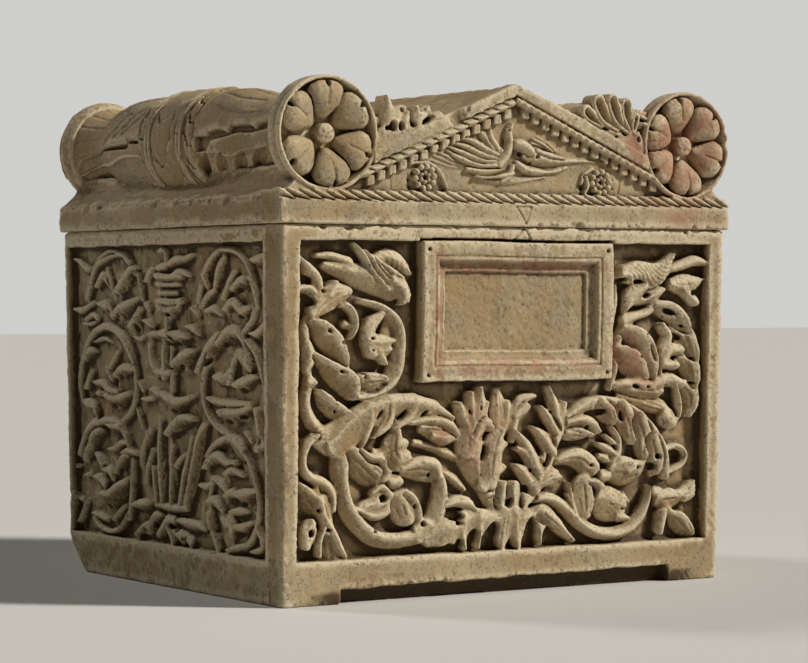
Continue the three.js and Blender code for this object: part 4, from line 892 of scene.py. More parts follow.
# Carving on the left side, as the photograph shows it; u runs towards the front
SIDE_BACK_SCROLLS = [
    # The upper ring and its leaves
    leaf(-2, (-133, 217, 4), (-126, 228, 4.5), (-118, 240, 4.5), (-104, 246, 3.5), (-90, 249, 3),
         (-75, 248.5, 3), (-64, 243, 3), (-55, 236, 2.5), (-46, 228, 2), (-43, 217, 2)),
    leaf(-3, (-116, 226, 4), (-106, 232, 6), (-97, 227, 5)),
    leaf(-4, (-98, 238, 2), (-92, 228, 3), (-88, 220, 2), sag=(2, 2)),
    leaf(-1.2, (-82, 221, 4), (-72, 227, 6.5), (-62, 236, 4), (-52, 238, 1.2), **RIDGED),
    leaf(-1.6, (-113, 210, 3), (-103, 208, 5.5), (-94, 202, 4), crest=0.2, sag=(5, 3)),
    leaf(-1, (-91, 201, 3), (-80, 205, 6), (-66, 208, 6), (-50, 215.5, 1.2), **LEANING),
    leaf(-1.6, (-60, 194, 4), (-53, 198, 6), (-46, 207, 2), **RIDGED),
    leaf(-3, (-54, 186, 1.5), (-46, 184, 2.5), (-40, 187, 1.5)),
    leaf(-3.5, (-112, 246, 2.5), (-96, 251, 3.5), (-82, 251, 2)),
    # Slips along the back margin
    leaf(-2.2, (-155, 245.5, 1.2), (-146, 243, 3), (-136, 238, 3.8), (-128, 237, 2), **GENTLE),
    leaf(-2.2, (-155, 206, 2), (-144, 205, 3.2), (-133, 208, 2.6), (-121, 212.5, 1.4), crest=0.2,
         sag=(4, 3)),
    leaf(-3.2, (-141, 195, 1.4), (-128, 195, 2.2), (-118, 197, 1.4)),
    leaf(-3.4, (-134, 199, 3), (-124, 202, 4), (-116, 199, 3)),
    # The middle ring
    leaf(-2, (-140, 130, 2), (-146, 142, 2.4), (-147, 155, 2.6), (-142, 168, 3.6), (-133, 180, 4.2),
         (-121, 189, 4.2), (-106, 192.5, 3.6), (-92, 191, 3.4), (-78, 186, 4.4), (-66, 176.5, 5),
         (-57, 166, 3.4), (-53, 154, 2.6), (-54, 141, 2.8), (-62, 129, 3), (-74, 122, 3)),
    leaf(-1.4, (-138, 168, 3), (-131, 173, 4.4), (-123, 174, 2), **RIDGED),
    leaf(-3.4, (-121, 181, 1.5), (-106, 184, 2.6), (-92, 181, 1.5)),
    leaf(-3, (-99, 158, 2), (-92, 165, 5), (-82, 175, 2)),
    leaf(-1.2, (-89, 155, 2), (-80, 159, 5), (-70, 160.5, 4.6), (-58, 160, 1.4), **RIDGED),
    leaf(-3, (-100, 160, 3), (-95, 155, 4), (-89, 150, 2)),
    leaf(-2, (-122, 149, 2), (-110, 148, 4), (-98, 143, 4), (-84, 142, 3), crest=0.4, sag=(4, 2)),
    leaf(-1, (-104, 138, 4), (-92, 135.5, 5.5), (-78, 137, 5.5), (-62, 143.5, 1.4), **LEANING),
    leaf(-2.6, (-137, 146, 3), (-132, 152, 4), (-128, 159, 1.5)),
    leaf(-1.6, (-138, 132, 4.5), (-129, 129, 7), (-123, 126, 4.5), crest=0.2, sag=(6, 3)),
    leaf(-3.5, (-117, 141, 3), (-108, 141, 3)),
    # The lower ring
    leaf(-2, (-155, 82, 1.5), (-148, 96, 4), (-140, 107, 5.5), (-128, 115, 6), (-114, 118, 4),
         (-98, 120, 3.6), (-84, 117, 3.6), (-72, 110, 3.2), (-63, 98, 2.8), (-59, 84, 2.6), (-61, 69, 3.4),
         (-65, 56, 4), (-73, 45, 3.6), (-85, 37, 2.8), (-99, 34.5, 2.6), (-113, 36.5, 2.6),
         (-126, 44, 2.4)),
    leaf(-1.2, (-141, 88, 2), (-133, 98, 6), (-124, 107, 6), (-113, 112, 3), **LEANING),
    leaf(-1.6, (-104, 117, 1.4), (-94, 115, 4), (-82, 115, 4), **RIDGED),
    leaf(-3, (-118, 92, 4), (-113, 88, 6), (-106, 84, 5)),
    leaf(-2, (-99, 98, 2), (-88, 99, 3.2), (-80, 103, 3.6), (-69, 104, 1.5), crest=0.2, sag=(5, 3)),
    leaf(-1.2, (-78, 96, 2.2), (-67, 97.5, 4), (-53, 96, 1.4), **RIDGED),
    leaf(-1.6, (-90, 81, 2), (-83, 87, 4.6), (-74, 93, 4), (-67, 94, 1.5), **RIDGED),
    leaf(-3, (-106, 82, 4), (-98, 81, 5), (-92, 76, 3)),
    leaf(-1.4, (-126, 75, 2), (-118, 74, 5), (-109, 70, 5), **RIDGED),
    leaf(-0.8, (-111, 61, 5), (-100, 60, 8), (-86, 66, 8), (-72, 73, 5), (-64, 78, 2), **LEANING),
    leaf(-2, (-66, 49, 4), (-63, 62, 6.5), (-62, 75, 4), crest=-0.3, sag=(3, 4)),
    leaf(-2.4, (-129, 47, 1.4), (-116, 45, 3.2), (-103, 43, 2), **GENTLE),
    leaf(-3.2, (-90, 46, 3), (-80, 52, 4), (-73, 56, 2)),
    leaf(-3.6, (-154, 59, 5), (-146, 57, 4)),
    leaf(-2.2, (-152, 39, 1.5), (-144, 46, 3.6), (-138, 56, 2), **GENTLE),
    leaf(-3.4, (-140, 76, 1.5), (-133, 77, 2.2), (-127, 80, 1.5), sag=(2, 2)),
]
SIDE_FRONT_SCROLLS = [
    # The upper ring and its leaves
    leaf(-2, (46, 213, 2), (51, 226, 3.4), (57, 236, 4.2), (67, 244.5, 4.4), (78, 249.5, 3.8), (92, 250, 3),
         (105, 247, 2.6), (117, 240, 2.4), (126, 229, 2), (129, 215, 1.8), (124, 201, 1.8), (112, 192, 2)),
    leaf(-2.6, (72, 226, 4), (77, 236, 6.5), (84, 244, 4), crest=-0.2, sag=(3, 4)),
    leaf(-2, (84, 216, 3), (92, 225, 4.6), (101, 235, 1.5), **GENTLE),
    leaf(-1.4, (97, 222, 3), (107, 226, 5.2), (119, 227, 1.8), **STEEP),
    leaf(-1.4, (84, 207, 2), (95, 211, 5), (108, 205, 5), (120, 209, 1.4), **STEEP),
    leaf(-2.6, (59, 206, 2.4), (69, 207, 4), (80, 203, 2), crest=0.2, sag=(4, 3)),
    leaf(-3.2, (52, 210, 3.4), (60, 216, 5), (70, 221, 3)),
    leaf(-3, (38, 207, 3.5), (45, 203, 2.6)),
    leaf(-3.6, (56, 231, 4), (62, 224, 3), sag=(2, 2)),
    # Slips along the front margin
    leaf(-1.6, (125, 242, 2.4), (133, 242, 4.2), (142, 246, 1.4), **RIDGED),
    leaf(-1.6, (121, 190, 1.4), (130, 190, 3.6), (142, 197.5, 1.6), **RIDGED),
    leaf(-4, (124, 228, 3.6), (130, 220, 4.4), (133, 210, 2), sag=(2, 2)),
    # The middle ring
    leaf(-1.2, (41, 161, 1.5), (50, 168, 5.5), (59, 176, 7), (70, 184, 6.5), (76, 189, 3), **STEEP),
    leaf(-1.4, (76, 183, 4), (87, 189, 6.2), (100, 190, 5.6), (112, 183, 3.5), (117, 177, 1.5), **STEEP),
    leaf(-2, (60, 173, 3), (54, 162, 3), (51.5, 150, 3), (55, 137, 2.8), (64, 127, 2.8), (76, 120.5, 2.8),
         (88, 117, 2.4)),
    leaf(-2.2, (119, 184, 3), (129, 176, 4.5), (137, 164, 4), (142, 150, 3.2), (143, 136, 2.6)),
    leaf(-3, (104, 176, 4), (112, 171, 7), (120, 166, 4)),
    leaf(-1.8, (89, 156, 3.6), (94, 165, 4.6), (101, 176, 1.8), crest=-0.3, sag=(3, 4)),
    leaf(-3.2, (72, 158, 4), (82, 157, 5), (90, 161, 4)),
    leaf(-1, (99, 153, 3.4), (110, 154.5, 5.6), (127, 160, 1.6), **STEEP),
    leaf(-1.8, (59, 142, 2), (72, 139.5, 3.4), (88, 138.5, 4), (104, 138.5, 4), (121, 140, 2), crest=0.4,
         sag=(4, 2)),
    leaf(-1, (76, 132, 4), (87, 131, 6), (101, 132, 5.4), (120, 138, 1.6), **LEANING),
    leaf(-1.6, (130, 134, 5), (134, 122, 7), (130, 111, 5), crest=-0.2, sag=(4, 5)),
    leaf(-3.4, (116, 119, 3), (121, 115, 3)),
    # The lower ring
    leaf(-1.2, (52, 92, 2), (60, 98, 4.6), (72, 100, 5.2), (84, 96, 4), (97, 97, 2), **RIDGED),
    leaf(-2, (56, 100, 2), (66, 107, 3.6), (78, 112, 4), (90, 113, 5.5), (103, 108, 8), (113, 103, 4),
         crest=0.4, sag=(5, 3)),
    leaf(-2, (112, 105, 3), (121, 96, 3), (128, 84, 2.8), (131, 71, 2.8), (129, 57, 3), (122, 46, 3.4),
         (110, 38, 3), (97, 33.5, 2.4)),
    leaf(-3.4, (66, 84, 2.6), (62, 72, 2.6), (63, 58, 2.6), sag=(2, 2)),
    leaf(-1.8, (82, 89, 2), (94, 92, 4), (107, 89, 2), **GENTLE),
    leaf(-3.2, (70, 84, 4), (78, 81, 5), (85, 77, 3)),
    leaf(-2, (85, 73, 3), (93, 75, 4.4), (99, 73, 2), **RIDGED),
    leaf(-1, (99, 74, 4), (109, 74, 6.4), (125, 79, 1.4), **LEANING),
    leaf(-1.6, (60, 67, 3.6), (68, 67, 5.6), (78, 62, 3), **RIDGED),
    leaf(-1.8, (91, 62, 2), (102, 63, 3.6), (114, 63.5, 1.6), **GENTLE),
    leaf(-2, (84, 54, 7), (89, 51, 8), sag=(4, 4)),
    leaf(-1.4, (97, 51, 3), (108, 51.5, 4.2), (121, 57, 1.4), **RIDGED),
    leaf(-2.4, (59, 55, 6), (61, 49, 6), sag=(4, 4)),
    leaf(-2.8, (68, 41, 5), (72, 35, 5)),
    leaf(-1.6, (86, 34, 2), (99, 36, 3.6), (114, 40, 2), **GENTLE),
    leaf(-2.2, (131, 52, 4.5), (134, 47, 6), sag=(4, 4)),
    leaf(-2.6, (121, 36, 2), (130, 37, 3.4), (136, 41, 2)),
    leaf(-3.6, (47, 79, 2), (56, 78, 3), (64, 81, 2), sag=(2, 2)),
]
CANDELABRUM = [
    # Birds and slips over the rim
    leaf(-2.2, (-15, 250, 2), (-8, 252, 3), (-2, 247, 3.4), (-4, 239, 3.4), (-14, 238, 4)),
    leaf(-1.6, (0, 240, 2.6), (12, 243, 4), (24, 243.5, 3), (37, 247.5, 1.2), **GENTLE),
    leaf(-2.4, (6, 232, 3), (18, 234.5, 4), (32, 232, 2)),
    leaf(-1.8, (-22, 238, 2), (-29, 234, 3.6), (-36, 228, 1.4), crest=-0.2, sag=(3, 4)),
    leaf(-3.4, (-46, 233, 2), (-43, 224, 3.4), (-40, 214, 2)),
    # Rims and the fluted bowl
    leaf(-1.4, (-19, 231.5, 2.6), (0, 230, 3), (20, 230.5, 2.6), crest=0.3, sag=(3, 2)),
    leaf(-2.2, (-16, 225.5, 1.8), (0, 225, 2), (18, 225.5, 1.8), sag=(2, 2)),
    leaf(-4, (-13, 219, 3), (14, 219, 3), sag=(2, 2)),
    leaf(-2, (-14, 209, 4), (0, 206.5, 6.5), (14, 209, 5), sag=(4, 4)),
    leaf(-1.2, (-17, 213, 2.4), (0, 212, 2.6), (20, 213, 2.4), sag=(2, 2)),
    # Knop and little leaves beside it
    leaf(-2.6, (-3, 201, 3), (-2, 196, 5), (-1, 191, 4.4)),
    leaf(-2.2, (-39, 198, 2), (-31, 196, 3.4), (-25, 194, 2)),
    leaf(-3.6, (-34, 210, 3), (-30, 207, 3), sag=(2, 2)),
    leaf(-1.6, (28, 194, 2), (37, 192, 4), (45, 189, 2), **RIDGED),
    # The upper calyx
    leaf(-1.8, (-32, 187, 2), (-24, 188, 3.4), (-17, 186, 2.6), **RIDGED),
    leaf(-1.2, (-17, 188, 3), (-8, 187, 5.4), (2, 184, 3), **STEEP),
    leaf(-1.2, (2, 188, 3), (11, 186, 5.4), (26, 186.5, 2), **STEEP),
    # The tulip and its leaf
    leaf(-2.6, (-7, 179, 6), (-7, 169, 8), (-7, 163, 9)),
    leaf(-4, (-28, 176, 6), (-26, 168, 8), (-20, 162, 7)),
    leaf(-3, (5, 177, 3), (5, 168, 4)),
    leaf(-1.8, (-21, 160, 2), (-8, 159.5, 2.4), (4, 159.5, 2), sag=(2, 2)),
    leaf(-0.8, (7, 166, 4), (18, 169, 7.4), (28, 173, 5.5), (36, 177, 1.4), **STEEP),
    leaf(-2.4, (4, 147, 2), (5, 154, 2.4), (7, 160, 2)),
    # The lower calyx and the leaf below
    leaf(-2.2, (-29, 147, 1.6), (-22, 145, 3), (-14, 141, 2.6)),
    leaf(-1, (-15, 143, 3), (-4, 138, 6.4), (8, 136, 6), (22, 139, 4), (35, 144, 1.4), **LEANING),
    leaf(-3.2, (-42, 139, 1.5), (-34, 139, 2.2), (-26, 139.5, 1.5), sag=(2, 2)),
    leaf(-3.4, (-45, 150, 4), (-42, 147, 4)),
    leaf(-1, (-5, 114, 3), (6, 119, 6), (20, 124, 6), (36, 126, 2), crest=0.5, sag=(7, 2)),
    leaf(-3.4, (-49, 130, 3), (-46, 124, 4), (-42, 118, 2)),
    # The great draped sheath
    leaf(-1.2, (53, 124, 2), (47, 116, 5.5), (41, 104, 7.5), (36, 90, 7), (30, 76, 6), (23, 62, 3),
         crest=-0.2, sag=(4, 4)),
    leaf(-2.8, (34, 112, 4), (28, 96, 7), (20, 80, 7), (15, 66, 5), crest=0.2),
    leaf(-2.2, (22, 100, 2), (12, 94, 4), (4, 89, 2), **RIDGED),
    leaf(-3, (4, 104, 4), (3, 86, 7), (2, 66, 6)),
    leaf(-3.4, (-14, 122, 5), (-16, 100, 7), (-14, 78, 7), (-12, 62, 6)),
    leaf(-2.4, (-26, 86, 4), (-24, 74, 6), (-22, 62, 4), crest=0.2, sag=(4, 3)),
    leaf(-1.8, (-31, 116, 3), (-38, 106, 4.6), (-45, 96, 2), (-44, 88, 1.4), crest=-0.3, sag=(3, 5)),
    leaf(-2.6, (-27, 100, 3), (-33, 88, 5), (-38, 76, 2), crest=-0.2, sag=(3, 4)),
    leaf(-2.8, (-20, 60, 2.6), (2, 59, 3.4), (26, 60, 2.6), sag=(3, 2)),
    # Acanthus at the foot
    leaf(-1.4, (-57, 35, 1.6), (-46, 40, 4), (-36, 42, 5.6), (-30, 46, 3), **RIDGED),
    leaf(-1, (-33, 42, 4), (-25, 49, 6), (-16, 52, 2), **LEANING),
    leaf(-2, (-17, 40, 5), (-6, 48, 6.5), (4, 50, 4), sag=(4, 4)),
    leaf(-2, (-2, 42, 4), (3, 36, 5), sag=(4, 4)),
    leaf(-1.6, (8, 41, 4), (17, 38, 5.4), sag=(4, 4)),
    leaf(-2, (22, 40, 4), (30, 36, 5), sag=(4, 4)),
    leaf(-2.2, (12, 50, 3), (28, 48, 5), (42, 48, 4), (52, 46, 2), **RIDGED),
    leaf(-1, (-60, 57, 2), (-50, 58, 5), (-40, 58.5, 4), (-32, 62, 1.4), **STEEP),
]
# Dark hollows under the side's leaves: across, up, half width, half height, turn
SIDE_DRILLINGS = [
    (-95, 204, 3.4, 2.2, -30), (-86, 199, 4, 2, 10), (-52, 193, 3, 3.4, 0), (-80, 202, 2, 1.6, 0),
    (-98, 220, 3, 1.2, 0), (-124, 126, 3, 3.4, 0), (-109, 140, 2.4, 1.6, 0), (-90, 132.5, 4.6, 1.6, 0),
    (-79, 155, 4.4, 1.6, 10), (-89, 150, 1.8, 3, 0), (-114, 67.5, 2.8, 2.4, 0), (-101, 54, 5, 2, 0),
    (-131, 101, 4.4, 1.8, 45), (-97, 95, 3.6, 1.4, 10), (-82, 82, 3.4, 1.6, 30), (-62, 92, 4, 1.5, 0),
    (-150, 88, 2, 3.5, -30), (106, 221, 4.4, 1.5, 5), (107, 202, 4.4, 1.6, 0), (92, 216, 3.5, 1.4, 45),
    (74, 221, 2, 2, 0), (94, 148, 1.8, 5, 0), (109, 149.5, 5, 1.6, 5), (90, 127, 5.4, 1.8, 0),
    (110, 131, 4, 1.4, 10), (133, 116, 4, 4, 0), (60, 169, 4, 1.6, 35), (85, 182, 3.6, 1.6, 15),
    (110, 69, 5, 1.8, 10), (96, 71, 2.4, 1.4, 0), (88, 48, 4, 3, 0), (68, 62, 4, 1.4, -20),
    (105, 47, 4, 1.4, 10), (60, 46, 3.4, 2.4, 0), (133, 45, 3.4, 2, 0), (-10, 182, 4, 1.4, -10),
    (12, 182, 5, 1.5, 0), (0, 203, 5, 1.4, 0), (36, 188, 4, 1.5, -10), (20, 164, 5, 1.8, 20),
    (6, 131, 6, 1.8, 0), (12, 114, 8, 1.8, 15), (-38, 41, 3.6, 2, 0), (-22, 45, 3, 2, 30),
    (2, 46, 2.4, 2, 0), (12, 44, 2, 2.4, 0), (-50, 54, 4, 1.4, 0), (0, 88, 3.4, 1.4, 30), (26, 38, 2, 2, 0),
]


def side_carving(stone, sign):
    """Six rings of scroll round a candelabrum. The sign turns the carving over for the other side."""
    for group in (SIDE_BACK_SCROLLS, SIDE_FRONT_SCROLLS, CANDELABRUM):
        for form in group:
            gap = 0.4 if form["top"] > -2 else 0.1
            form = dict(form, edge=1.0, gap=gap, floor=SIDE_GROUND, power=1.25, blend=1.4)
            form.setdefault("sag", (4.2, 4.2))
            form["rows"] = [(sign * u, w, half) for u, w, half in form["rows"]]
            form["crest"] = sign * form.get("crest", 0.0)
            if sign < 0:
                form["sag"] = form["sag"][::-1]
            stone.stroke(**form)
    for u, w, half, tall, turn in SIDE_DRILLINGS:
        stone.drill(sign * u, w, half, tall=tall, turn=sign * turn, depth=-9, top=-3)


def carve_side(name, face, settings, mirror):
    """One side of the chest between the front and back corners."""
    sign = -1 if mirror else 1
    u, w, away = LEFT_FACE.viewpoint()
    ends = (-149, 176) if mirror else (-176, 149)
    stone = Stone((ends[0], -1.5, -20), (ends[1], 269, 4), settings.detail * 1.1, (sign * u, w, away))
    stone.field = block_distance(stone, face).astype(np.float32)
    # The panel reaches almost to the back corner, and follows its lean
    back = SIDE_PANEL_BACK + 5 * stone.w / CHEST_TOP
    across = np.maximum(-back - sign * stone.u, sign * stone.u - SIDE_PANEL_FRONT)
    inside = np.maximum(across, np.maximum(PANEL_FOOT - stone.w, stone.w - SIDE_PANEL_TOP))
    uneven = stone.uneven(6)
    stone.recess(inside + 0.6 * uneven, SIDE_GROUND + 1.1 * uneven, 2.5)
    side_carving(stone, sign)
    stone.weather(51)
    # Painted shade on the deep ground
    stone.depth_shade = 0.02
    # A painted shadow on the front and lower side of each form, away from the fill light behind and above
    stone.painted_shadow = (-3.0 * sign, 2.5, 0.36)
    below, above = (-148, None) if mirror else (None, 148)
    return stone.mesh(name, face, open_below=(below, None, -19), open_above=(above, None, None))


def carve_back(settings):
    """The chest's plain back."""
    stone = Stone((-180, -1.5, -27), (180, 269, 3), settings.detail * 1.6)
    stone.field = block_distance(stone, BACK_FACE).astype(np.float32)
    stone.weather(61, 0.4)
    ends = {"open_below": (-178, None, -25), "open_above": (178, None, None)}
    return stone.mesh("chest_back", BACK_FACE, adaptivity=0.05, **ends)


def carve_core(settings):
    """The inside of the chest: rim, ash cavity and underside."""
    stone = Stone((-182, -152, -2), (182, 152, 269), settings.detail * 2.4)
    x, y, z = stone.u, stone.w, stone.n
    body = np.maximum(z - CHEST_TOP + 0.05, 0.05 - z)
    mouth = smooth_max(np.abs(x) - CAVITY_HALF_WIDTH, np.abs(y) - CAVITY_HALF_DEPTH, 38.0)
    room = smooth_max(mouth, CAVITY_FLOOR - z, 8.0)
    stone.field = smooth_max(body, -room, 2.0).astype(np.float32)
    stone.weather(121, 0.5)
    ends = {"open_below": (-181, -151, None), "open_above": (181, 151, None)}
    return stone.mesh("chest_core", lambda spots: spots, adaptivity=0.05, **ends)


# Relief in the gable, as the photograph shows it
GABLE_BIRDS = [
    # The branch below
    leaf(-6, (-37, 304, 2), (-24, 300, 4), (-8, 299.5, 4.5), (6, 301, 3.8), (24, 303.5, 2)),
    # The left bird: three feathers of the lower wing
    leaf(-6, (-40, 310, 2.6), (-60, 310.5, 2.4), (-79, 314.5, 0.8), tip=-7, sag=(2, 2)),
    leaf(-5, (-38, 312, 2.6), (-56, 313, 2.4), (-74, 317.5, 0.8), tip=-6.5, sag=(2, 2), gap=0.8),
    leaf(-4, (-36, 314, 2.8), (-53, 315, 2.4), (-69, 320, 0.8), tip=-6, sag=(2, 2), gap=0.8),
    # Body and feet
    leaf(-2.5, (-34, 303.5, 1.2), (-22, 303.5, 1.8), (-8, 304.5, 1.6), (-1, 306, 1), sag=(2, 2), gap=0.8),
    leaf(-4, (-12, 300, 2), (-6, 304, 3), (-3, 310, 2.4), sag=(2, 2)),
    leaf(-3.8, (-42, 308, 2), (-28, 307.5, 4), (-15, 310.5, 5), (-9, 316, 4.5), sag=(3.5, 3.5), gap=0.6),
    # The upper wing, from its lowest feather up
    leaf(-2, (-14, 313, 3), (-34, 312.5, 3), (-50, 316.5, 2.2), (-60, 321.5, 0.8), tip=-5, sag=(3, 2),
         gap=1.2),
    leaf(-1.5, (-13, 315.5, 3), (-32, 316, 3), (-46, 320, 2.2), (-58, 324, 0.8), tip=-4.5, sag=(3, 2),
         gap=0.7),
    leaf(-1.5, (-13, 318, 3), (-30, 319.5, 3), (-42, 324, 2.4), (-52, 326.5, 0.8), tip=-4.5, sag=(3, 2),
         gap=0.7),
    leaf(-1.5, (-13, 320, 3), (-26, 323, 3.2), (-36, 328, 2.6), (-44, 330, 1), tip=-4.5, sag=(3, 2),
         gap=0.7),
    leaf(-2, (-13, 321.5, 2.6), (-22, 327, 4), (-28, 333, 3.5), tip=-5, sag=(3, 2), gap=0.6),
    leaf(-3, (-17, 324, 2.6), (-22, 332, 3), (-22.5, 338.5, 1), tip=-5, sag=(2, 2), gap=0.6),
    # Its neck and head
    leaf(-3, (-12, 314, 4.6), (-7, 320, 4.6), (-4.5, 328, 4.2), (-5.5, 336, 3.6), (-3, 342, 1.4), tip=-2,
         sag=(4, 4), gap=0.6),
    # The right bird: tail, body, legs, small wing and head
    leaf(-6, (38, 312.5, 2), (52, 314, 1.6), (66, 313.5, 1), tip=-8, sag=(2, 2)),
    leaf(-6, (38, 320.5, 0.9), (30, 326.5, 2), (19, 332, 1.4), sag=(2, 2)),
    leaf(-5.5, (34, 321.5, 0.9), (25, 327, 2), (14.5, 331.5, 1.4), sag=(2, 2), gap=0.6),
    leaf(-5, (29, 322, 0.9), (21, 325.5, 2), (13, 328.5, 1.4), sag=(2, 2), gap=0.6),
    leaf(-1.5, (10, 321, 5.5), (18, 319, 6.8), (30, 316.5, 5.6), (44, 316, 4), (60, 316.5, 2.8),
         (78, 315.5, 1), tip=-7, sag=(4.5, 4.5), gap=1.2),
    leaf(-1.5, (18, 323, 1.6), (30, 320, 2.2), (44, 318, 1), tip=-4, sag=(2, 2), gap=0.5),
    leaf(-0.6, (3.5, 327.5, 4.4), (8, 326.5, 5.6), (13, 323.5, 5.2), sag=(4, 4), gap=0.6, dome=2),
    leaf(-3, (2, 313, 2.6), (10, 309, 3.4), (22, 307.5, 2.6), (31, 307.5, 1), gap=0.8),
    leaf(-4.5, (30, 307.5, 1.4), (38, 309, 2.2), (46, 311.5, 1.2), sag=(2, 2)),
]
# The round motifs low in the gable: mounds, ridges and knobs, and their drilled holes
GABLE_MOUNDS = [
    leaf(-7.5, (-86, 301, 8.5), (-74, 300.5, 10), sag=(2.5, 2.5)),
    leaf(-4, (-89, 311.5, 1), (-77, 311.5, 1.6), (-67, 306, 1.7), (-60.5, 294, 1.2), sag=(2, 2), gap=0.6),
    leaf(-7, (70, 300.5, 9), (81, 300.5, 10)),
    leaf(-4.5, (59, 300, 1.6), (62, 306.5, 1.8), (69, 311, 1.6), sag=(2, 2), gap=0.6),
    leaf(-3.8, (62.5, 293.5, 1.8), (65, 299, 2.2), (64, 304, 1.8), sag=(2, 2), gap=1),
]
# Middles of the two small rosettes, and the rings of knobs round them: count, radius and half width
GABLE_ROSETTES = [(-79, 301.3), (77.5, 301)]
ROSETTE_RINGS = [(10, 7.8, 2.5), (6, 3.4, 1.7)]
GABLE_DRILLINGS = [
    (-92, 299, 1), (-89, 304, 1), (-91, 294, 1), (60.5, 297, 2.2), (89, 303, 0.9), (89.5, 296.5, 0.9),
    (17.5, 318.5, 1.6), (13.5, 313.5, 1.2), (4, 320.5, 1.4), (-7, 337, 0.9),
]
# The fan of the right palmette: hollows with their rims, and its drilled holes
RIGHT_PALMETTE = [
    [(64.5, 353, 3.0), (69.5, 349, 2.8), (77, 344, 0.8)],
    [(75.5, 360.5, 3.6), (79, 354, 3.8), (83.5, 348, 2.8), (92, 341.5, 0.8)],
    [(88.5, 362.3, 2.9), (91, 355, 3.4), (94.5, 347.5, 2.6), (101, 341, 0.8)],
    [(101, 359.5, 2.9), (102, 353, 3.2), (104, 346, 2.0), (106, 341, 0.8)],
    [(110, 350.5, 1.2), (109, 345.5, 1.4), (108, 341, 0.7)],
]
PALMETTE_GROUND = [
    leaf(-5, (60, 344, 5), (73, 352, 9), (88, 355, 9), (102, 352, 8), (111, 346, 5), sag=(2, 2)),
    leaf(-2.5, (80, 338, 5), (98, 331.5, 6.5), (112, 324, 7), sag=(1, 1)),
    leaf(-3, (64, 346, 4), (82, 341.5, 4.5), (98, 336, 6), (112, 326, 8), (117, 318, 5), sag=(1, 1)),
    leaf(-8, (112, 353, 3.5), (120, 351, 4), sag=(1, 1)),
    leaf(-2, (110, 341, 3), (112, 333, 5), (113, 325, 6), sag=(2, 2)),
    leaf(-2, (111, 344.5, 1.3), (115, 347, 1.5), (119.5, 345.5, 1.4), sag=(1, 1)),
    leaf(-2, (110.5, 350, 1.2), (114, 351.5, 1.6), (119.5, 350, 1.4), sag=(1, 1)),
    leaf(-1.5, (84, 343.4, 1.2), (94, 340.6, 1.6), (104, 339, 1.4), sag=(1, 1)),
    leaf(-1.5, (86, 339.5, 2.2), (92, 337.5, 2.4), sag=(2, 2)),
]
# Drilled holes of the right palmette, then of the left one: across, up, half width, half height, turn
PALMETTE_DRILLINGS = [
    (115.5, 348.5, 2.4, 1.6, 0), (114.5, 340.5, 2.6, 1.7, 0), (111.5, 334, 1.8, 2.6, 0),
    (80.7, 340.7, 2.2, 1.2, -20), (98.3, 338, 3, 1.5, -35), (91, 335.5, 1.6, 1, 0),
    # The broken left palmette
    (-117, 345.5, 2, 2.4, 0), (-112.3, 335.5, 1.6, 2, 0), (-108, 337, 3, 4, 0), (-101, 337, 2.6, 3.2, 0),
    (-90.5, 338.5, 2.6, 2.2, 0), (-79, 341.6, 5.5, 1.9, 28),
]
BROKEN_PALMETTE = [
    leaf(-1.5, (-119, 318, 4), (-112, 328, 9), (-98, 331, 8), (-82, 333, 6.5), (-66, 337, 3.5),
         (-54, 340, 1), sag=(1, 2), blend=2),
    leaf(-7, (-120, 340, 4), (-113, 342, 6), sag=(1, 1), blend=2),
    leaf(-1, (-108, 340, 7), (-109.5, 349, 4.5), (-111, 357, 2), tip=-3, sag=(2, 4), blend=2),
    leaf(-1, (-104, 341, 7), (-101, 347, 4.5), (-97, 350, 2.5), tip=-3, blend=2),
    leaf(-1.5, (-96, 341, 5), (-95, 345, 3.4), blend=2),
    leaf(-1, (-84, 340, 6), (-84, 347, 4.6), (-86, 351, 1.8), tip=-2.5, sag=(2, 3), blend=2),
    leaf(-1, (-77, 341, 6), (-77, 347, 5), (-76, 350.5, 2.6), tip=-3, blend=2),
    leaf(-1.5, (-72, 341, 5), (-68, 345, 4), (-62, 343, 2.4), (-55, 341, 1), tip=-3, blend=2),
]
# A disc: its profile as radius and height, and the directions of its six petals, in degrees
DISC_PROFILE = [
    (0, -16), (33.5, -15.5), (36, -12), (37.5, -7), (38.0, -2.0), (39.8, -1.6), (DISC_RADIUS, -2.4),
]
DISC_PETALS = {-1: (90, 36, -24, -80, -144, 147), 1: (101, 40, -20, -86, -147, 160)}
# A petal: two lobes outside and the body that joins them, as turn, radius, half length and half width
PETAL_PARTS = [(-11.5, 26.2, 10.6, 17.5), (11.5, 26.2, 10.6, 17.5), (0, 21.5, 13, 27)]
# Steps from the raking band down to the gable's field: how far below the band, and height
RAKING_PROFILE = [
    (-20, -0.9), (-min(RAKING_BAND.values()), -0.9), (-0.3, -0.8), (0.1, -3.5), (0.5, -5.5),
    (4.8, -5.5), (5.2, -8), (200, -8),
]
GABLE_TOP = RIDGE + GABLE_RISE


def lid_top(x):
    """Height of the lid's plain top above each place across it."""
    across = [0, BOLSTER_X, SHOULDER_X, LID_HALF_WIDTH, 260]
    heights = [RIDGE, RIDGE - BOLSTER_X * ROOF_SLOPE, SHOULDER_Z, SLAB_TOP + 1, 240]
    return np.interp(np.abs(x), across, heights)


def lid_distance(x, y, z):
    """Distance from the plain lid: slab, shoulders and gabled roof."""
    roof = (z - lid_top(x)) * 0.93
    # The bolsters lie in a saddle of it
    saddle = smooth_max(np.abs(np.abs(x) - BOLSTER_X) - 24, z - 309, 3.0)
    roof = smooth_min(roof, saddle, 8.0)
    body = smooth_max(roof, np.abs(x) - LID_HALF_WIDTH, 2.5)
    body = smooth_max(body, np.abs(y) + LID_FRONT, 2.5)
    return smooth_max(body, LID_BOTTOM - z, 1.5).astype(np.float32)


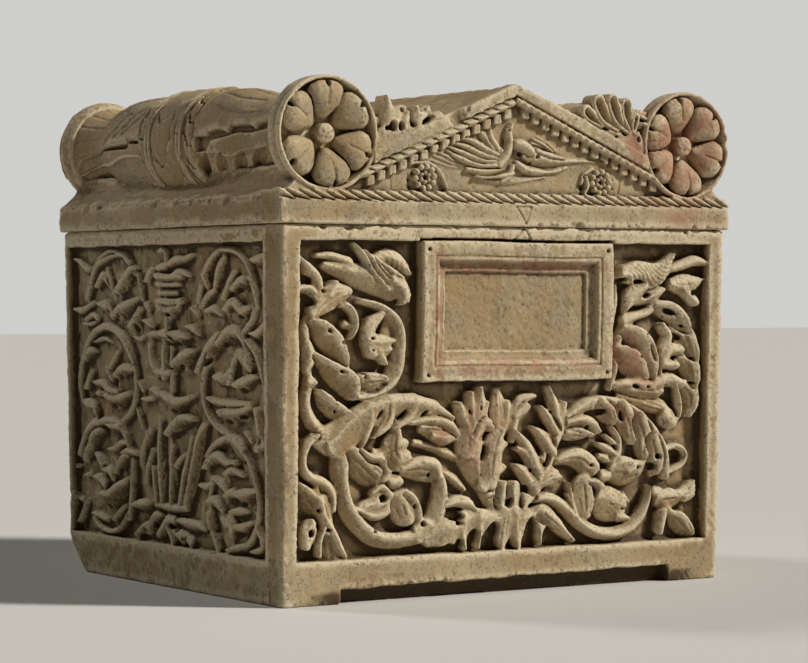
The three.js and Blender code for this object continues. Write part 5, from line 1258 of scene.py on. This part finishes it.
def petal_distance(around, r, n, angle):
    """Distance from one petal, which leans down to the middle of its disc."""
    lean = -13.2 + 0.27 * (r - 10)
    parts = []
    for turn, away, reach, half in PETAL_PARTS:
        off = (around - angle - turn + 180) % 360 - 180
        q = np.sqrt(((r - away) / reach) ** 2 + (off / half) ** 2 + ((n - lean) / 7.2) ** 2)
        parts.append((q - 1) * 6)
    return smooth_min(smooth_min(parts[0], parts[1], 4.0), parts[2], 3.5)


def disc(stone, side):
    """The disc that ends a bolster: thin rim, deep hollow, six plump cleft petals and a button."""
    middle = side * BOLSTER_X
    reach = DISC_RADIUS + 5
    window = stone.window(middle - reach, middle + reach, BOLSTER_Z - reach, BOLSTER_Z + reach)
    u, w = stone.u[window[0]], stone.w[:, window[1]]
    n = stone.n[:, :, window[2]]
    r = np.hypot(u - middle, w - BOLSTER_Z)
    edge = DISC_RADIUS - 1.1 * np.exp(-((n + 8.5) / 1.2) ** 2)
    top = np.interp(r, *zip(*DISC_PROFILE))
    plate = smooth_max(r - edge, (n - top) * 0.7, 0.8)
    plate = smooth_max(plate, -17.5 - n, 1.0)
    clear = np.maximum(r - 39, -16 - n)
    field = np.maximum(stone.field[window], -clear)
    field = smooth_min(field, plate, 0.5)
    # Each petal's neighbour starts behind a cut
    around = np.degrees(np.arctan2(w - BOLSTER_Z, u - middle))
    for angle in DISC_PETALS[side]:
        petal = petal_distance(around, r, n, angle)
        field = np.maximum(field, np.minimum(0.8 - petal, n + 16))
        field = smooth_min(field, petal, 0.3)
    stone.field[window] = field
    # Clefts and button are laid out true, not as the photograph shows them
    viewpoint, stone.viewpoint = stone.viewpoint, None

    def spot(radius, radians):
        return middle + radius * math.cos(radians), BOLSTER_Z + radius * math.sin(radians)

    for angle in DISC_PETALS[side]:
        turn = math.radians(angle)
        stone.drill(*spot(35.2, turn), 2.0, depth=-12, top=0)
        stone.groove([(*spot(20, turn), 0.8), (*spot(35, turn), 1.4)], 1.0, 0)
    button = [(middle, BOLSTER_Z, 7.4)]
    stone.stroke(button, top=-3.4, sag=(0, 0), dome=2.4, gap=2.8, floor=-15.5, edge=1.6)
    for i in range(5):
        stone.drill(*spot(3.9, math.radians(72 * i + 20)), 1.3, depth=-4.6, top=0)
    stone.viewpoint = viewpoint


def under_gable(x, drop):
    """Height of a place that lies a drop below the gable's slope."""
    return GABLE_TOP - ROOF_SLOPE * abs(x) - drop


def raking_rope(stone):
    """The rope on the slopes: long level strands on the left one, a tight cord on the right one."""
    cut = {"edge": 0.8, "root": -12, "floor": -5.5}
    for i in range(RAKING_STRANDS):
        x = -(i + 0.6) * RAKING_STRAND_PITCH
        z = under_gable(x, RAKING_ROPE[-1])
        strand = [(-7.8, -2.2, 0.8), (-3, -0.6, 2.9), (3, 0.7, 2.9), (7.8, 1.6, 0.8)]
        rows = [(x + across, z + up, half) for across, up, half in strand]
        stone.stroke(rows, top=-0.6, sag=(3.0, 3.0), gap=0.6, blend=0.15, **cut)
    rows = [(x, under_gable(x, RAKING_ROPE[1]), 2.5) for x in (2, 130)]
    stone.stroke(rows, top=-0.8, sag=(2.4, 2.4), gap=0.9, blend=0.2, ribs=(6.8, 1.8, 1.1), **cut)


def dentil(stone, side, x):
    """One tooth, upright under the slope, with its foot cut a little aslant."""
    (x, middle), = stone.seen([(x, under_gable(x, DENTIL_MIDDLE[side]), 0)], -4.5)[:, :2]
    window = stone.window(x - 6, x + 6, middle - 8, middle + 8, -14)
    off = stone.u[window[0]] - x
    lean = -side * 0.12 * off
    du = np.abs(off) - 3.2
    dw = np.abs(stone.w[:, window[1]] - middle - lean) - 3.6
    tooth = smooth_max(smooth_max(du, dw, 1.2), stone.n[:, :, window[2]] + 4.2, 1.0)
    stone.field[window] = smooth_min(stone.field[window], tooth, 0.4)


def rosette(stone, middle, up):
    """A small rosette of knobs in rings round a drilled eye."""
    for count, radius, half in ROSETTE_RINGS:
        for i in range(count):
            turn = math.tau * i / count + 0.3 * half
            spot = (middle + radius * math.cos(turn), up + radius * math.sin(turn), half)
            stone.stroke([spot], top=-3.0, sag=(0, 0), dome=2.6, edge=0.8, gap=0.4, floor=-7)
    stone.drill(middle, up, 1.5, depth=-9, top=-4)


def pediment(stone):
    """Raking band, rope, dentils and relief over the gable field, as heights below the lid's front."""
    window = stone.window(-166, 166, 284, 374)
    u, w = stone.u[window[0]], stone.w[:, window[1]]
    u, w = u[:, :, 0], w[:, :, 0]
    below = GABLE_TOP - ROOF_SLOPE * np.abs(u) - w
    rise = 0.8 + 2.2 * np.clip(u / 45, 0, 1)
    band = np.where(u < 0, RAKING_BAND[-1], RAKING_BAND[1])
    top = np.interp(below - band, *zip(*RAKING_PROFILE))
    top = top + 0.25 * grain((*top.shape, 1), (6, 6, 1), 71)[:, :, 0]
    n = stone.n[:, :, window[2]]
    face = np.where(w[:, :, None] > 286, n - top[:, :, None], -50)
    stone.field[window] = np.maximum(stone.field[window], face)
    rim = np.maximum((-(below + rise) * 0.93)[:, :, None], np.maximum(n - top[:, :, None], -13 - n))
    rim = np.maximum(rim, np.maximum(286 - w, np.abs(u) - 122)[:, :, None])
    stone.field[window] = np.minimum(stone.field[window], rim.astype(np.float32))
    raking_rope(stone)
    for side in (-1, 1):
        for i in range(DENTIL_COUNT):
            dentil(stone, side, side * (i + DENTIL_START[side]) * DENTIL_PITCH)
    for form in GABLE_BIRDS + GABLE_MOUNDS:
        stone.stroke(floor=-8, **form)
    for middle, up in GABLE_ROSETTES:
        rosette(stone, middle, up)
    for x, z, half in GABLE_DRILLINGS:
        stone.drill(x, z, half, depth=-9.5, top=-4)
    stone.groove([(92, 293, 0.9), (94, 303, 0.7)], 1.6, -8)
    for x in (-109, -94):
        stone.groove([(x, 292, 0.8), (x - 1, 303, 0.8)], 1.0, -8)


def eaves_rope(stone):
    """The rope along the eaves, strand by strand, on its own backing."""
    backing = smooth_max(np.abs(stone.u) - LID_HALF_WIDTH, stone.w - 291.2, 1.0)
    backing = smooth_max(backing, stone.n + 3.4, 1.0)
    stone.field = smooth_min(stone.field, np.maximum(backing, 284 - stone.w), 0.5)
    count = int(2 * LID_HALF_WIDTH / EAVES_STRAND_PITCH)
    for i in range(count):
        middle = -LID_HALF_WIDTH + (i + 0.5) * 2 * LID_HALF_WIDTH / count
        reach = min(7.2, LID_HALF_WIDTH - abs(middle))
        rows = [(middle - reach, 290.8, 1.4), (middle, 288.1, 2.5), (middle + reach, 285.4, 1.4)]
        stone.stroke(rows, top=-0.4, sag=(3.4, 3.4), edge=0.8, root=-10, gap=0.5, floor=-3.4, blend=0.3)


def palmettes(stone):
    """The palmettes, which stand on the slopes beside the discs: the left one broken, the right one a fan."""
    for form in BROKEN_PALMETTE + PALMETTE_GROUND:
        stone.stroke(root=-18, **form)
    for rows in RIGHT_PALMETTE:
        rows = [(u, w, half + 2.5) for u, w, half in rows]
        stone.stroke(rows, top=-1.8, tip=-2.6, sag=(2, 2), power=3, root=-18, gap=0.5, floor=-8, blend=0.8)
    for rows in RIGHT_PALMETTE:
        stone.scoop(rows, -8, sag=4, power=3, tip=-4.5, top=-2)
    for u, w, half, tall, turn in PALMETTE_DRILLINGS:
        stone.drill(u, w, half, tall=tall, turn=turn, depth=-11, top=-3)


def carve_lid_front(settings):
    """The lid's front: slab, rope, gable, palmettes and discs."""
    stone = Stone((-204, 264.5, -27), (204, 373, 3), settings.detail, LID_FACE.viewpoint())
    plain = lid_distance(stone.u, LID_FRONT - stone.n, stone.w)
    stone.field = plain + np.zeros(stone.field.shape, np.float32)
    # The ground behind the eaves' rope
    eaves = np.where(stone.w > SLAB_TOP + 0.2, 50, -50)
    stone.field = np.maximum(stone.field, np.minimum(eaves, stone.n + 3.5))
    pediment(stone)
    eaves_rope(stone)
    palmettes(stone)
    for side in (-1, 1):
        disc(stone, side)
    random = np.random.default_rng(21)
    places = scattered(random, 30, (-EDGE_CHIPS, EDGE_CHIPS), LID_BOTTOM, 0, (1.2, 3))
    places += scattered(random, 20, (-EDGE_CHIPS, EDGE_CHIPS), SLAB_TOP, 0, (0.8, 1.8))
    places += [(-47, 349, -1, 5), (-53, 347, -3, 6), (-43, 352, -1, 3.5)]
    places += [(200.8, 333, -2, 3), (199.4, 344, -2, 2.4)]
    # Broken tips of the left palmette
    places += scattered(random, 14, (-114, -70), (346, 356), (-6, 0), (1.5, 3))
    stone.chips(places, 22)
    # A triangle cut as a mason's mark
    stone.outlined([(0, 281.5, 1.0), (13, 281.5, 1.0), (8.5, 269.5, 1.1)], 1.5)
    stone.weather(81, 0.18)
    stone.painted = LID_PAINT
    # Painted shade spots: the left disc and the left end of the slab darker, where less light falls
    stone.shade_spots = [(-164, 335, 42, 42, 0.06), (-190, 276, 40, 12, 0.05)]
    return stone.mesh("lid_front", LID_FACE, open_below=(None, None, -26))


def carve_lid_back(settings):
    """The lid's plain back, with the bolsters' round ends."""
    stone = Stone((-204, 264.5, -27), (204, 373, 3), settings.detail * 1.6)
    plain = lid_distance(-stone.u, -LID_FRONT + stone.n, stone.w)
    stone.field = plain + np.zeros(stone.field.shape, np.float32)
    for side in (-1, 1):
        r = np.hypot(stone.u - side * BOLSTER_X, stone.w - BOLSTER_Z)
        end = smooth_max(r - 40.2 + 0.12 * np.maximum(-stone.n - 6, 0) ** 1.5, stone.n + 1.5, 3.0)
        stone.field = smooth_min(stone.field, np.maximum(end, -16 - stone.n), 1.5)
    stone.weather(91, 0.35)
    return stone.mesh("lid_back", LID_BACK_FACE, open_below=(None, None, -26), adaptivity=0.05)


def carve_roof(settings):
    """The lid between its two ends, with the locating boss below."""
    stone = Stone((-203, -150, 255), (203, 150, 373), settings.detail * 1.7)
    x, y, z = stone.u, stone.w, stone.n
    body = lid_distance(x, y, z)
    boss = smooth_max(np.abs(x) - BOSS_HALF_WIDTH, np.abs(y) - BOSS_HALF_DEPTH, 20.0)
    boss = smooth_max(boss, np.maximum(LID_BOTTOM - BOSS_HEIGHT - z, z - LID_BOTTOM - 4), 1.5)
    stone.field = np.minimum(body, boss).astype(np.float32)
    random = np.random.default_rng(32)
    stone.chips(scattered(random, 40, [-199, 199], (-145, 145), [267, 285], (1.5, 3.5)), 33)
    stone.weather(101, 0.35)
    ends = {"open_below": (None, -149, None), "open_above": (None, 149, None)}
    return stone.mesh("lid_roof", lambda spots: spots, adaptivity=0.05, **ends)


# A bolster's turned form: along it to the back, and radius
BOLSTER_PROFILE = [
    (-162, 26.5), (-140, 26.8), (-125, 28), (-110, 30), (-92, 34), (-71, 37.4), (-52, 38.3), (-47, 38.0),
    (-44, 39.6), (-37, 39.6), (-35, 38.6), (-33, 39.8), (-26, 40), (-24, 38.6), (-21, 39.6), (8, 40.2),
    (12, 38.8), (14, 40), (22, 40), (24, 38.6), (27, 39.8), (36, 39.2), (39, 37.6), (43, 38.6), (75, 38.8),
    (95, 37.5), (112, 34), (124, 28.5), (132, 27), (142, 28.5), (154, 33), (166, 38.5), (171, 40.2),
    (173.4, 40.2),
]
# Steps of a bolster's sheaths, unrolled: along it to the back, then round the roll from its top, the upper
# leaf's edge, the end of the dark gap under it and the edge of the lower leaf
SHEATH_STEPS = [
    (-142, -51, -51, -71), (-139, -48, -52, -72), (-134, -44.5, -52.5, -72.5), (-126, -45, -54, -73),
    (-118, -49, -56, -73.5), (-115.5, -54, -56.5, -74), (-113, -51, -57, -74), (-108, -49.5, -57, -74),
    (-98, -49.5, -56.5, -74), (-89, -51, -58, -77.5), (-86, -57, -59, -77.5), (-80, -54, -60, -76),
    (-72, -53.5, -61, -73), (-66, -55, -62, -72.5), (-63, -55, -65, -72), (-60, -58.5, -68, -72),
    (-58, -58.5, -70, -71.5), (-46, -58.5, -70, -71), (42, -57, -59, -70), (60, -56, -58.5, -69.5),
    (63, -59, -62, -69.5), (90, -59.5, -62.5, -73), (110, -61, -62.5, -75), (130, -65, -65.3, -79),
    (150, -70, -70.3, -82), (160, -84, -84, -84),
]
BOLSTER_SCOOPS = [
    [(-72, -54, 2), (-80, -50, 6), (-90, -45, 3.5)], [(-74, -75, 2.5), (-82, -70, 7), (-92, -62, 3.5)],
    [(-78, -97, 2.5), (-85, -91, 7), (-94, -82, 3.5)], [(-77, -121, 3), (-84, -113, 8), (-95, -103, 4)],
    [(-84, -136, 2), (-91, -131, 4.5), (-98, -124, 3)],
]
# Folds along the sheaths: round the roll, along it, and half length
FOLDS = [
    (-88, 60, 16), (-94, 80, 18), (-30, 66, 20), (-42, 78, 22), (-14, 74, 20), (16, 70, 22), (34, 80, 22),
    (52, 66, 20), (70, 74, 22), (-36, -92, 26), (-20, -84, 26), (-4, -96, 24), (14, -88, 26), (30, -94, 24),
]
# The binding lies between these two places along the roll
BINDING = (-46, 42)
BOLSTER_BACK = 171
BOLSTER_TURN = 150


def binding(stone):
    """A broad band of long leaves between two cords, then scales up to the sheaths, on both its sides."""
    for sign in (-1, 1):
        for k in range(-6, 7):
            u = 17 * k + (8 if sign > 0 else 0)
            y = 36 if sign > 0 else -38
            scale = [(u - 11, y - 2, 2.5), (u - 2, y, 6.2), (u + 6, y + 1, 4.5)]
            stone.stroke(scale, top=0.4, tip=1.6, sag=(2, 2), edge=0.8, root=-4, gap=1.0, floor=-2.6)
        for k in range(-3, 4):
            u = 32 * k + (10 if sign > 0 else -6)
            y = 4 * sign
            long = [(u - 20, 5 * sign, 4), (u - 8, 5 * sign, 13), (u + 8, y, 14.5), (u + 14, y, 12)]
            stone.stroke(long, top=0.6, tip=2.2, sag=(1.8, 1.8), edge=0.8, root=-4, gap=1.0, floor=-1.6)
            stone.groove([(u - 16, y, 0.7), (u + 14, y, 0.9)], 0.8, 0)
        for y in (22 * sign, 27 * sign):
            stone.stroke([(-98, y, 2), (98, y, 2)], top=1.5, sag=(1.5, 1.5), root=-4, gap=1.2, floor=-2.6)


def back_sheath(stone):
    """The sheath behind the binding: the lower leaf's lit edge, then the upper leaf's lobes and folds."""
    lit = [
        (-69, 43, 1.4), (-68, 62, 1.6), (-69.5, 76, 1.6), (-74, 94, 1.8), (-75, 112, 1.6), (-79, 132, 1.4),
        (-85, 166, 1.0),
    ]
    stone.stroke(lit, top=1.0, tip=0.4, sag=(1, 2), root=-6)
    for sign in (-1, 1):
        for u, y in ((54, 100), (52, 84), (50, 70)):
            lobe = [(sign * u, y, 2.2), (sign * (u - 9), y - 15, 2.2), (sign * (u - 24), y - 30, 0.8)]
            stone.groove(lobe, 2.2, 0)
        stone.groove([(sign * 38, 104, 1.8), (sign * 26, 86, 1.8), (sign * 12, 68, 0.8)], 1.8, 0)
        stone.groove([(sign * 22, 106, 1.8), (sign * 12, 90, 1.8), (sign * 2, 72, 0.8)], 1.6, 0)


def bolster(stone):
    """One bolster, unrolled and with heights above its turned form: sheaths, binding and flaring end."""
    along, upper, gap, lower = zip(*SHEATH_STEPS)
    y, turn = stone.w[0, :, 0][None, :], -np.abs(stone.u[:, 0, 0])[:, None]
    upper, gap, lower = (np.interp(y, along, edge) for edge in (upper, gap, lower))
    lip = -1.6 * np.clip(1 - (turn - upper) / 4, 0, 1) ** 2
    under = np.where(turn > gap, -6.0, np.where(turn > lower, -1.6, -3.4))
    height = np.where(turn > upper, lip, under)
    height = np.where((y > BINDING[0]) & (y < BINDING[1]), 0, height)
    stone.field = ((stone.n - height[:, :, None]) * 0.95).astype(np.float32)
    # Scooped lobes of the lower leaf sweep back and down
    for rows in BOLSTER_SCOOPS:
        stone.scoop(rows, -7.5, sag=4.5, power=3)
    binding(stone)
    back_sheath(stone)
    for u, y, reach in FOLDS:
        stone.groove([(u, y - reach, 1.6), (u - 3, y, 1.4), (u + 2, y + reach, 0.8)], 1.2, 0)
    for u in range(-90, 91, 15):
        stone.groove([(u, 118, 0.7), (u - 4, 140, 1.2), (u - 8, 164, 1.2)], 0.8, 0)
    # Rings where the sheath meets the disc
    for y in (-140.5, -144):
        stone.stroke([(-98, y, 1.2), (98, y, 1.2)], top=1.2, sag=(1, 1), root=-4)


def carve_bolster(name, side, settings):
    """One bolster, rolled up round its own axis. Its lower part, inside the lid, is left open."""
    half = math.radians(BOLSTER_TURN) * BOLSTER_RADIUS
    stone = Stone((-half, -161, -10), (half, BOLSTER_BACK, 3.5), settings.detail)
    bolster(stone)
    stone.weather(111 + side, 0.25)

    def place(spots):
        turn = spots[:, 0] / BOLSTER_RADIUS
        away = spots[:, 2] + np.interp(spots[:, 1], *zip(*BOLSTER_PROFILE))
        x = side * BOLSTER_X - side * away * np.sin(turn)
        return np.stack([x, spots[:, 1], BOLSTER_Z + away * np.cos(turn)], 1)

    ends = {"open_below": (-half + 1, -160, -9.2), "open_above": (half - 1, BOLSTER_BACK - 0.6, None)}
    made = stone.mesh(name, place, **ends)
    if side > 0:
        made.data.flip_normals()
    return made


def marble(name, settings):
    """Aged marble: cream and ochre with streaks and specks, brown in its hollows, pale on its edges.

    The brown is patina and painted shade; the pale is wear and painted highlight.
    """
    made = bpy.data.materials.new(name)
    made.use_nodes = True
    nodes, links = made.node_tree.nodes, made.node_tree.links
    shader = nodes["Principled BSDF"]
    shader.inputs["Roughness"].default_value = 0.66
    shader.inputs["Specular IOR Level"].default_value = 0.3
    place = nodes.new("ShaderNodeTexCoord").outputs["Object"]

    def noise(scale, detail, rough=0.55, stretch=None):
        """Noise over the stone, drawn out along an axis whose stretch is small."""
        node = nodes.new("ShaderNodeTexNoise")
        node.inputs["Scale"].default_value = scale
        node.inputs["Detail"].default_value = detail
        node.inputs["Roughness"].default_value = rough
        where = place
        if stretch:
            turn = nodes.new("ShaderNodeMapping")
            turn.inputs["Scale"].default_value = stretch
            links.new(place, turn.inputs["Vector"])
            where = turn.outputs["Vector"]
        links.new(where, node.inputs["Vector"])
        return node.outputs["Fac"]

    def ramp(value, low, high, start=0.0, end=1.0):
        """Goes smoothly from start at the low value to end at the high one."""
        node = nodes.new("ShaderNodeMapRange")
        node.interpolation_type = "SMOOTHSTEP"
        for key, number in zip(("From Min", "From Max", "To Min", "To Max"), (low, high, start, end)):
            node.inputs[key].default_value = number
        links.new(value, node.inputs["Value"])
        return node.outputs["Result"]

    def product(a, b):
        """One share times another."""
        node = nodes.new("ShaderNodeMath")
        node.operation = "MULTIPLY"
        links.new(a, node.inputs[0])
        links.new(b, node.inputs[1])
        return node.outputs[0]

    def mixed(share, a, b):
        """Lays a share of colour b over colour a."""
        node = nodes.new("ShaderNodeMix")
        node.data_type = "RGBA"
        for key, value in ((0, share), (6, a), (7, b)):
            if isinstance(value, bpy.types.NodeSocket):
                links.new(value, node.inputs[key])
            else:
                node.inputs[key].default_value = value
        return node.outputs[2]

    def number(key):
        """A number that the mesh keeps for each of its places."""
        node = nodes.new("ShaderNodeAttribute")
        node.attribute_name = key
        return node.outputs["Fac"]

    hollow = number("hollow")
    blotch = noise(45, 5)
    streaks = noise(130, 4, 0.6, (1, 1, 0.14))
    specks = noise(430, 3, 0.7)
    pits = product(ramp(noise(380, 2, 0.5), 0.58, 0.72, 0, 0.8), ramp(blotch, 0.42, 0.6))
    coats = [
        (ramp(noise(9, 3), 0.35, 0.68), settings.ochre),
        (ramp(blotch, 0.46, 0.72, 0, 0.65), settings.grey),
        (ramp(streaks, 0.50, 0.74, 0, 0.5), settings.ochre),
        # Pale on edges and ridges: wear, and painted highlight
        (ramp(hollow, 0.49, 0.36, 0, 0.7), settings.worn_and_highlit),
        (product(ramp(noise(60, 5, 0.65), 0.36, 0.58), number("paint")), settings.paint),
        # Brown patina and painted shade in hollows, on deep ground, in painted shadows and in spots
        (ramp(hollow, 0.52, 0.73, 0, 0.97), settings.hollow),
        (ramp(specks, 0.54, 0.70, 0, 0.75), settings.speck),
        (product(pits, ramp(hollow, 0.8, 0.4)), settings.speck),
    ]
    colour = tuple(settings.cream)
    for share, coat in coats:
        colour = mixed(share, colour, tuple(coat))
    links.new(colour, shader.inputs["Base Color"])
    bump = nodes.new("ShaderNodeBump")
    bump.inputs["Strength"].default_value = 0.8
    bump.inputs["Distance"].default_value = 0.0008
    links.new(noise(300, 6, 0.7), bump.inputs["Height"])
    links.new(bump.outputs["Normal"], shader.inputs["Normal"])
    return made


def colour_setting(name, description, red, green, blue):
    """A colour that the sidebar can change."""
    return bpy.props.FloatVectorProperty(
        name=name, description=description, subtype="COLOR", size=4, default=(red, green, blue, 1),
    )


class ChestSettings(bpy.types.PropertyGroup):
    """Carving grid and colours of the marble."""

    detail: bpy.props.FloatProperty(
        name="Carving grid", description="Spacing of the grid that the carving is cut on, in millimetres",
        default=0.68, min=0.4, max=3.0,
    )
    cream: colour_setting("Cream marble", "Main colour of the marble", 0.465, 0.365, 0.22)
    ochre: colour_setting("Ochre stain", "Warm stain over the marble", 0.36, 0.25, 0.125)
    grey: colour_setting("Grey patches", "Cooler patches of the marble", 0.30, 0.265, 0.18)
    # Brown patina and painted shade in the hollows
    hollow: colour_setting("Hollow patina", "Brown patina in the hollows", 0.058, 0.032, 0.011)
    # Pale wear and painted highlight on edges and ridges
    worn_and_highlit: colour_setting("Worn edges", "Pale marble where edges are rubbed", 0.74, 0.635, 0.45)
    speck: colour_setting("Dark specks", "Colour of the fine dark specks", 0.11, 0.085, 0.05)
    paint: colour_setting("Old paint", "Traces of the carving's old red paint", 0.36, 0.145, 0.085)


class StudioSettings(bpy.types.PropertyGroup):
    """Light and floor."""

    key_power: bpy.props.FloatProperty(
        name="Key light", description="Strength of the main sun lamp", default=3.6, min=0.0,
    )
    fill_power: bpy.props.FloatProperty(
        name="Fill light", description="Strength of the weak sun lamp behind", default=0.75, min=0.0,
    )
    floor_colour: colour_setting("Floor", "Colour of the floor", 0.62, 0.62, 0.61)


def settings_of(context):
    """The chest's settings in the scene."""
    return context.scene.cinerarium_chest


def finish_piece(context, made, body, node=None):
    """Gives a piece the one marble that all share, its body, and the node that it replaces."""
    material = bpy.data.materials.get("aged_marble") or marble("aged_marble", settings_of(context))
    made.data.materials.append(material)
    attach(made, body)
    if node:
        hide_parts(node)


class CINERARIUM_OT_front(bpy.types.Operator):
    """Carves the chest's front"""

    bl_idname = "cinerarium.front"
    bl_label = "Front with tablet and scrolls"

    def execute(self, context):
        finish_piece(context, carve_front(settings_of(context)), "chest", "chest")
        return {"FINISHED"}


class CINERARIUM_OT_sides(bpy.types.Operator):
    """Carves the chest's two sides"""

    bl_idname = "cinerarium.sides"
    bl_label = "Sides with candelabra"

    def execute(self, context):
        for name, face, mirror in (("chest_left", LEFT_FACE, False), ("chest_right", RIGHT_FACE, True)):
            made = carve_side(name, face, settings_of(context), mirror)
            finish_piece(context, made, "chest")
        return {"FINISHED"}


class CINERARIUM_OT_back(bpy.types.Operator):
    """Dresses the plain back of the chest"""

    bl_idname = "cinerarium.back"
    bl_label = "Back"

    def execute(self, context):
        finish_piece(context, carve_back(settings_of(context)), "chest")
        return {"FINISHED"}


class CINERARIUM_OT_core(bpy.types.Operator):
    """Hollows the chest for the ashes"""

    bl_idname = "cinerarium.core"
    bl_label = "Rim and cavity"

    def execute(self, context):
        finish_piece(context, carve_core(settings_of(context)), "chest")
        return {"FINISHED"}


class CINERARIUM_OT_pediment(bpy.types.Operator):
    """Carves the lid's front with its gable, discs and palmettes"""

    bl_idname = "cinerarium.pediment"
    bl_label = "Lid front"

    def execute(self, context):
        finish_piece(context, carve_lid_front(settings_of(context)), "lid", "lid")
        return {"FINISHED"}


class CINERARIUM_OT_roof(bpy.types.Operator):
    """Carves the lid's roof, shoulders and back"""

    bl_idname = "cinerarium.roof"
    bl_label = "Roof"

    def execute(self, context):
        for carve in (carve_roof, carve_lid_back):
            finish_piece(context, carve(settings_of(context)), "lid")
        return {"FINISHED"}


class CINERARIUM_OT_bolsters(bpy.types.Operator):
    """Carves the two bolsters along the lid's sides"""

    bl_idname = "cinerarium.bolsters"
    bl_label = "Bolsters"

    def execute(self, context):
        for name, side in (("bolster_left", -1), ("bolster_right", 1)):
            finish_piece(context, carve_bolster(name, side, settings_of(context)), "lid")
        return {"FINISHED"}


FLOOR_HALF_SIZE = 12000
BACKDROP = (0.62, 0.62, 0.61, 1)
AIM = (0, 0, 0.18)


def lay_floor(colour):
    """The pale floor."""
    side = FLOOR_HALF_SIZE
    spots = np.array([(-side, -side, 0), (side, -side, 0), (side, side, 0), (-side, side, 0)], float)
    floor = new_object("floor", spots, [np.array([[0, 1, 2, 3]])])
    paint = bpy.data.materials.new("pale_floor")
    paint.use_nodes = True
    shader = paint.node_tree.nodes["Principled BSDF"]
    shader.inputs["Base Color"].default_value = colour
    shader.inputs["Roughness"].default_value = 0.9
    floor.data.materials.append(paint)


def light_world(scene):
    """A faint warm light from all round, and the pale backdrop that the camera sees."""
    world = bpy.data.worlds.new("studio")
    scene.world = world
    world.use_nodes = True
    nodes, links = world.node_tree.nodes, world.node_tree.links
    back = nodes["Background"]
    back.inputs["Color"].default_value = (0.70, 0.68, 0.62, 1)
    back.inputs["Strength"].default_value = 0.035
    seen = nodes.new("ShaderNodeBackground")
    seen.inputs["Color"].default_value = BACKDROP
    seen.inputs["Strength"].default_value = 1.0
    path = nodes.new("ShaderNodeLightPath")
    mix = nodes.new("ShaderNodeMixShader")
    links.new(path.outputs["Is Camera Ray"], mix.inputs[0])
    links.new(back.outputs[0], mix.inputs[1])
    links.new(seen.outputs[0], mix.inputs[2])
    links.new(mix.outputs[0], nodes["World Output"].inputs["Surface"])


def hang_lamp(scene, name, spot, spread, power, colour):
    """A sun lamp at a spot, aimed at the middle of the chest; its spread is in degrees."""
    data = bpy.data.lights.new(name, "SUN")
    data.angle = math.radians(spread)
    data.energy = power
    data.color = colour
    lamp = bpy.data.objects.new(name, data)
    scene.collection.objects.link(lamp)
    lamp.location = spot
    aim = Vector(AIM) - Vector(spot)
    lamp.rotation_euler = aim.to_track_quat("-Z", "Y").to_euler()


def set_camera(scene):
    """The photograph's camera."""
    data = bpy.data.cameras.new("camera")
    data.lens = CAMERA_LENS
    data.sensor_width = CAMERA_SENSOR
    data.clip_start = 0.1
    data.clip_end = 50
    camera = bpy.data.objects.new("camera", data)
    scene.collection.objects.link(camera)
    camera.location = CAMERA_PLACE
    camera.rotation_euler = (math.radians(90 - CAMERA_PITCH), 0, math.radians(-CAMERA_YAW))
    scene.camera = camera


class CINERARIUM_OT_stage(bpy.types.Operator):
    """Sets the floor, the lamps and the camera"""

    bl_idname = "cinerarium.stage"
    bl_label = "Stage"

    def execute(self, context):
        scene = context.scene
        studio = scene.cinerarium_studio
        scene.view_settings.view_transform = "Standard"
        lay_floor(studio.floor_colour)
        light_world(scene)
        hang_lamp(scene, "key", (1.5, -1.35, 1.75), 7, studio.key_power, (1.0, 0.95, 0.87))
        hang_lamp(scene, "fill", (-0.75, 1.3, 1.8), 10, studio.fill_power, (1.0, 0.97, 0.9))
        set_camera(scene)
        return {"FINISHED"}


class CINERARIUM_PT_panel(bpy.types.Panel):
    """Lists the operators of the cinerarium"""

    bl_label = "Cinerarium"
    bl_idname = "CINERARIUM_PT_panel"
    bl_space_type = "VIEW_3D"
    bl_region_type = "UI"
    bl_category = "Cinerarium"

    def draw(self, context):
        for step in STEPS:
            self.layout.operator(step.bl_idname)


STEPS = [
    CINERARIUM_OT_front, CINERARIUM_OT_sides, CINERARIUM_OT_back, CINERARIUM_OT_core,
    CINERARIUM_OT_pediment, CINERARIUM_OT_roof, CINERARIUM_OT_bolsters, CINERARIUM_OT_stage,
]
CLASSES = [ChestSettings, StudioSettings, *STEPS, CINERARIUM_PT_panel]


def register():
    """Adds the add-on's classes and the scene's settings."""
    for item in CLASSES:
        bpy.utils.register_class(item)
    bpy.types.Scene.cinerarium_chest = bpy.props.PointerProperty(type=ChestSettings)
    bpy.types.Scene.cinerarium_studio = bpy.props.PointerProperty(type=StudioSettings)


def unregister():
    """Takes them away again."""
    del bpy.types.Scene.cinerarium_studio
    del bpy.types.Scene.cinerarium_chest
    for item in reversed(CLASSES):
        bpy.utils.unregister_class(item)


def main():
    """Builds every piece and the stage."""
    register()
    for step in STEPS:
        group, name = step.bl_idname.split(".")
        getattr(getattr(bpy.ops, group), name)()
    bpy.context.view_layer.update()


if __name__ == "__main__":
    main()
